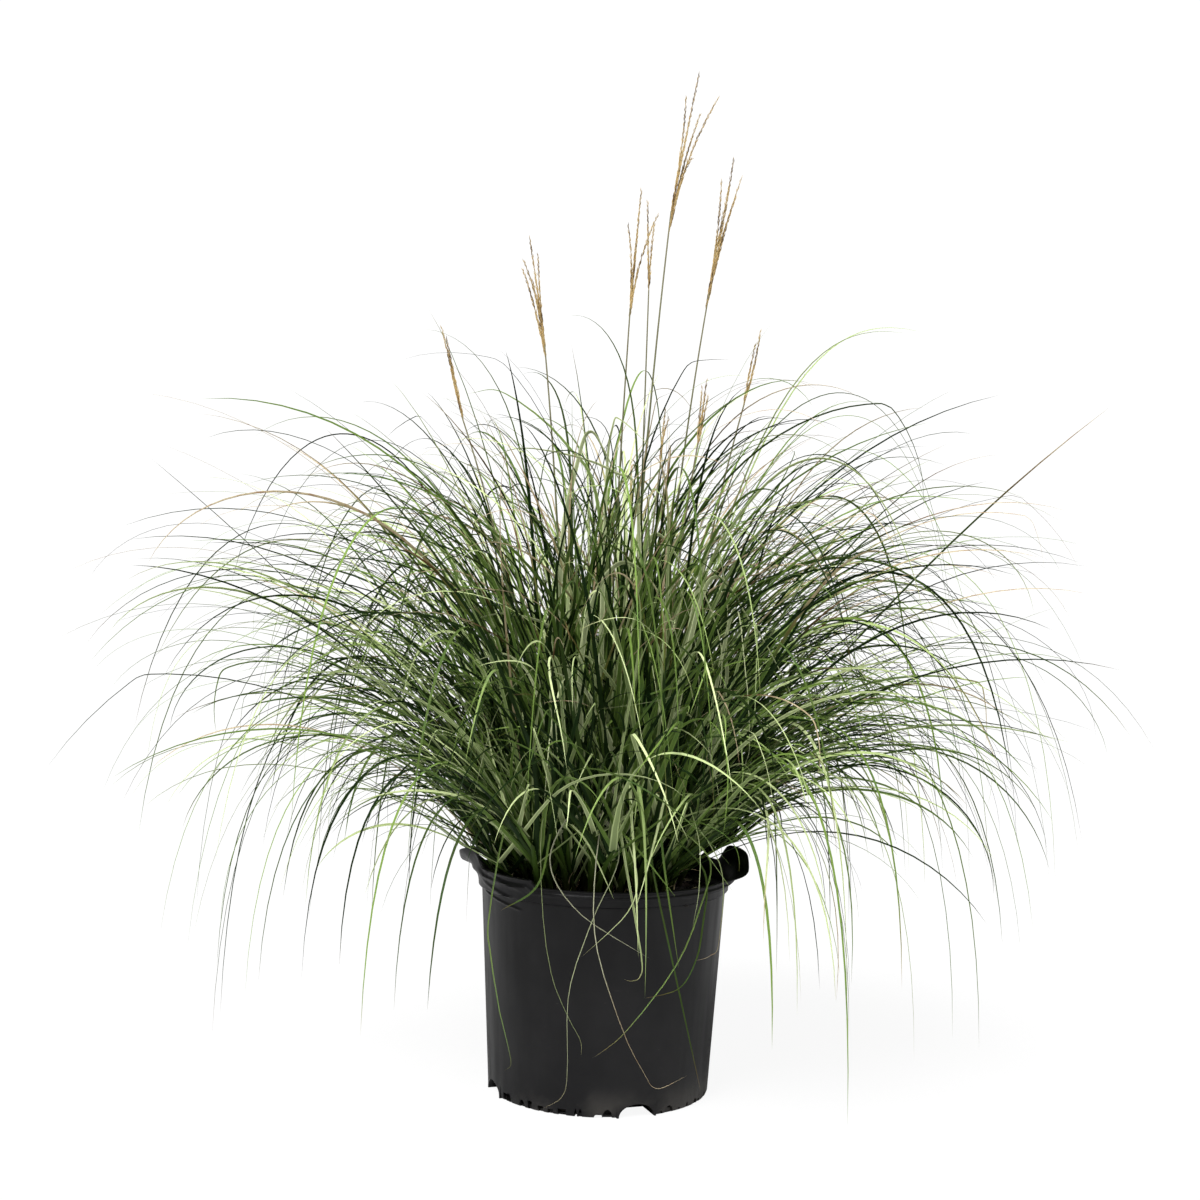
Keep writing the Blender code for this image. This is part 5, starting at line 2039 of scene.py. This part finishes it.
@dataclass(frozen=True)
class Softbox:
    """A large far light: its name, where it shines from, how wide it looks in degrees, and how strongly."""

    name: str
    place: Place
    softness: float
    strength: float

    def hang(self) -> None:
        """Adds the light as a sun that shines from its place towards the origin."""
        data = bpy.data.lights.new(self.name, "SUN")
        data.angle = math.radians(self.softness)
        data.energy = self.strength
        light = bpy.data.objects.new(self.name, data)
        light.location = self.place
        light.rotation_euler = (-Vector(self.place)).to_track_quat("-Z", "Y").to_euler()
        bpy.context.scene.collection.objects.link(light)


@dataclass(frozen=True)
class Studio:
    """A pale floor, soft light and a camera where the photograph was taken from."""

    distance: float = 1.9
    camera_height: float = 0.554
    camera_aside: float = -0.0127
    pitch: float = 1.18
    roll: float = 1.7
    focal_pixels: float = 1799.0
    sensor: float = 36.0
    floor_size: float = 60.0
    floor_grey: float = 0.6
    floor_light: float = 1.06
    floor_glow: float = 0.86
    surround: float = 0.14
    backdrop: float = 1.05
    lights: tuple[Softbox, ...] = (
        Softbox("key", (-1.0, -1.6, 2.6), 28.0, 4.7),
        Softbox("fill", (2.4, -1.6, 1.6), 50.0, 1.35),
    )

    def place_camera(self) -> None:
        """Puts the camera in front of the plant, tipped and rolled as in the photograph."""
        data = bpy.data.cameras.new("camera")
        data.sensor_width = self.sensor
        data.lens = self.focal_pixels / PHOTO_SIDE * self.sensor
        camera = bpy.data.objects.new("camera", data)
        bpy.context.scene.collection.objects.link(camera)
        turn = Matrix.Rotation(math.radians(90.0 - self.pitch), 4, "X")
        turn = turn @ Matrix.Rotation(math.radians(self.roll), 4, "Z")
        place = (self.camera_aside, -self.distance, self.camera_height)
        camera.matrix_world = Matrix.Translation(place) @ turn
        bpy.context.scene.camera = camera

    def lay_floor(self) -> None:
        """Lays a plain pale floor, which the camera sees lit from within as on a light table."""
        deselect_all()
        bpy.ops.mesh.primitive_plane_add(size=self.floor_size)
        floor = bpy.context.active_object
        floor.name = "studio_floor"
        apply_place(floor)
        sheet = NodeSheet("studio_floor")
        grey = (self.floor_grey, self.floor_grey, self.floor_grey, 1.0)
        matt = sheet.add("ShaderNodeBsdfDiffuse", {"Color": grey}).outputs[0]
        lit = sheet.add("ShaderNodeEmission", {"Strength": self.floor_light}).outputs[0]
        seen = sheet.product(sheet.add("ShaderNodeLightPath").outputs["Is Camera Ray"], self.floor_glow)
        surface = sheet.add("ShaderNodeMixShader", {0: seen, 1: matt, 2: lit}).outputs[0]
        sheet.add("ShaderNodeOutputMaterial", {"Surface": surface})
        floor.data.materials.append(sheet.material)

    def light(self) -> None:
        """Lights the plant softly from above and from both sides, in a white surrounding."""
        world = bpy.data.worlds.new("studio")
        world.use_nodes = True
        tree = world.node_tree
        background = tree.nodes["Background"]
        background.inputs["Color"].default_value = (1.0, 1.0, 1.0, 1.0)
        rays = tree.nodes.new("ShaderNodeLightPath")
        strength = tree.nodes.new("ShaderNodeMapRange")
        strength.inputs["To Min"].default_value = self.surround
        strength.inputs["To Max"].default_value = self.backdrop
        tree.links.new(rays.outputs["Is Camera Ray"], strength.inputs["Value"])
        tree.links.new(strength.outputs["Result"], background.inputs["Strength"])
        bpy.context.scene.world = world
        for box in self.lights:
            box.hang()
        bpy.context.scene.view_settings.view_transform = "Standard"

    def build(self) -> None:
        """Sets up the camera, the floor and the light."""
        self.place_camera()
        self.lay_floor()
        self.light()


def main() -> None:
    """Builds the plant, its can and its studio."""
    logging.basicConfig(level=logging.INFO, format="%(message)s")
    Studio().build()
    can = NurseryCan()
    can.build()
    compost = CompostFill(can)
    compost.build_fill()
    compost.build_chips()
    clump = Clump(can)
    clump.read()
    clump.build()
    straw = StrawFinish().material()
    for number, plume in enumerate(PLUMES, 1):
        FlowerCulm(number, plume).build(straw)


if __name__ == "__main__":
    main()
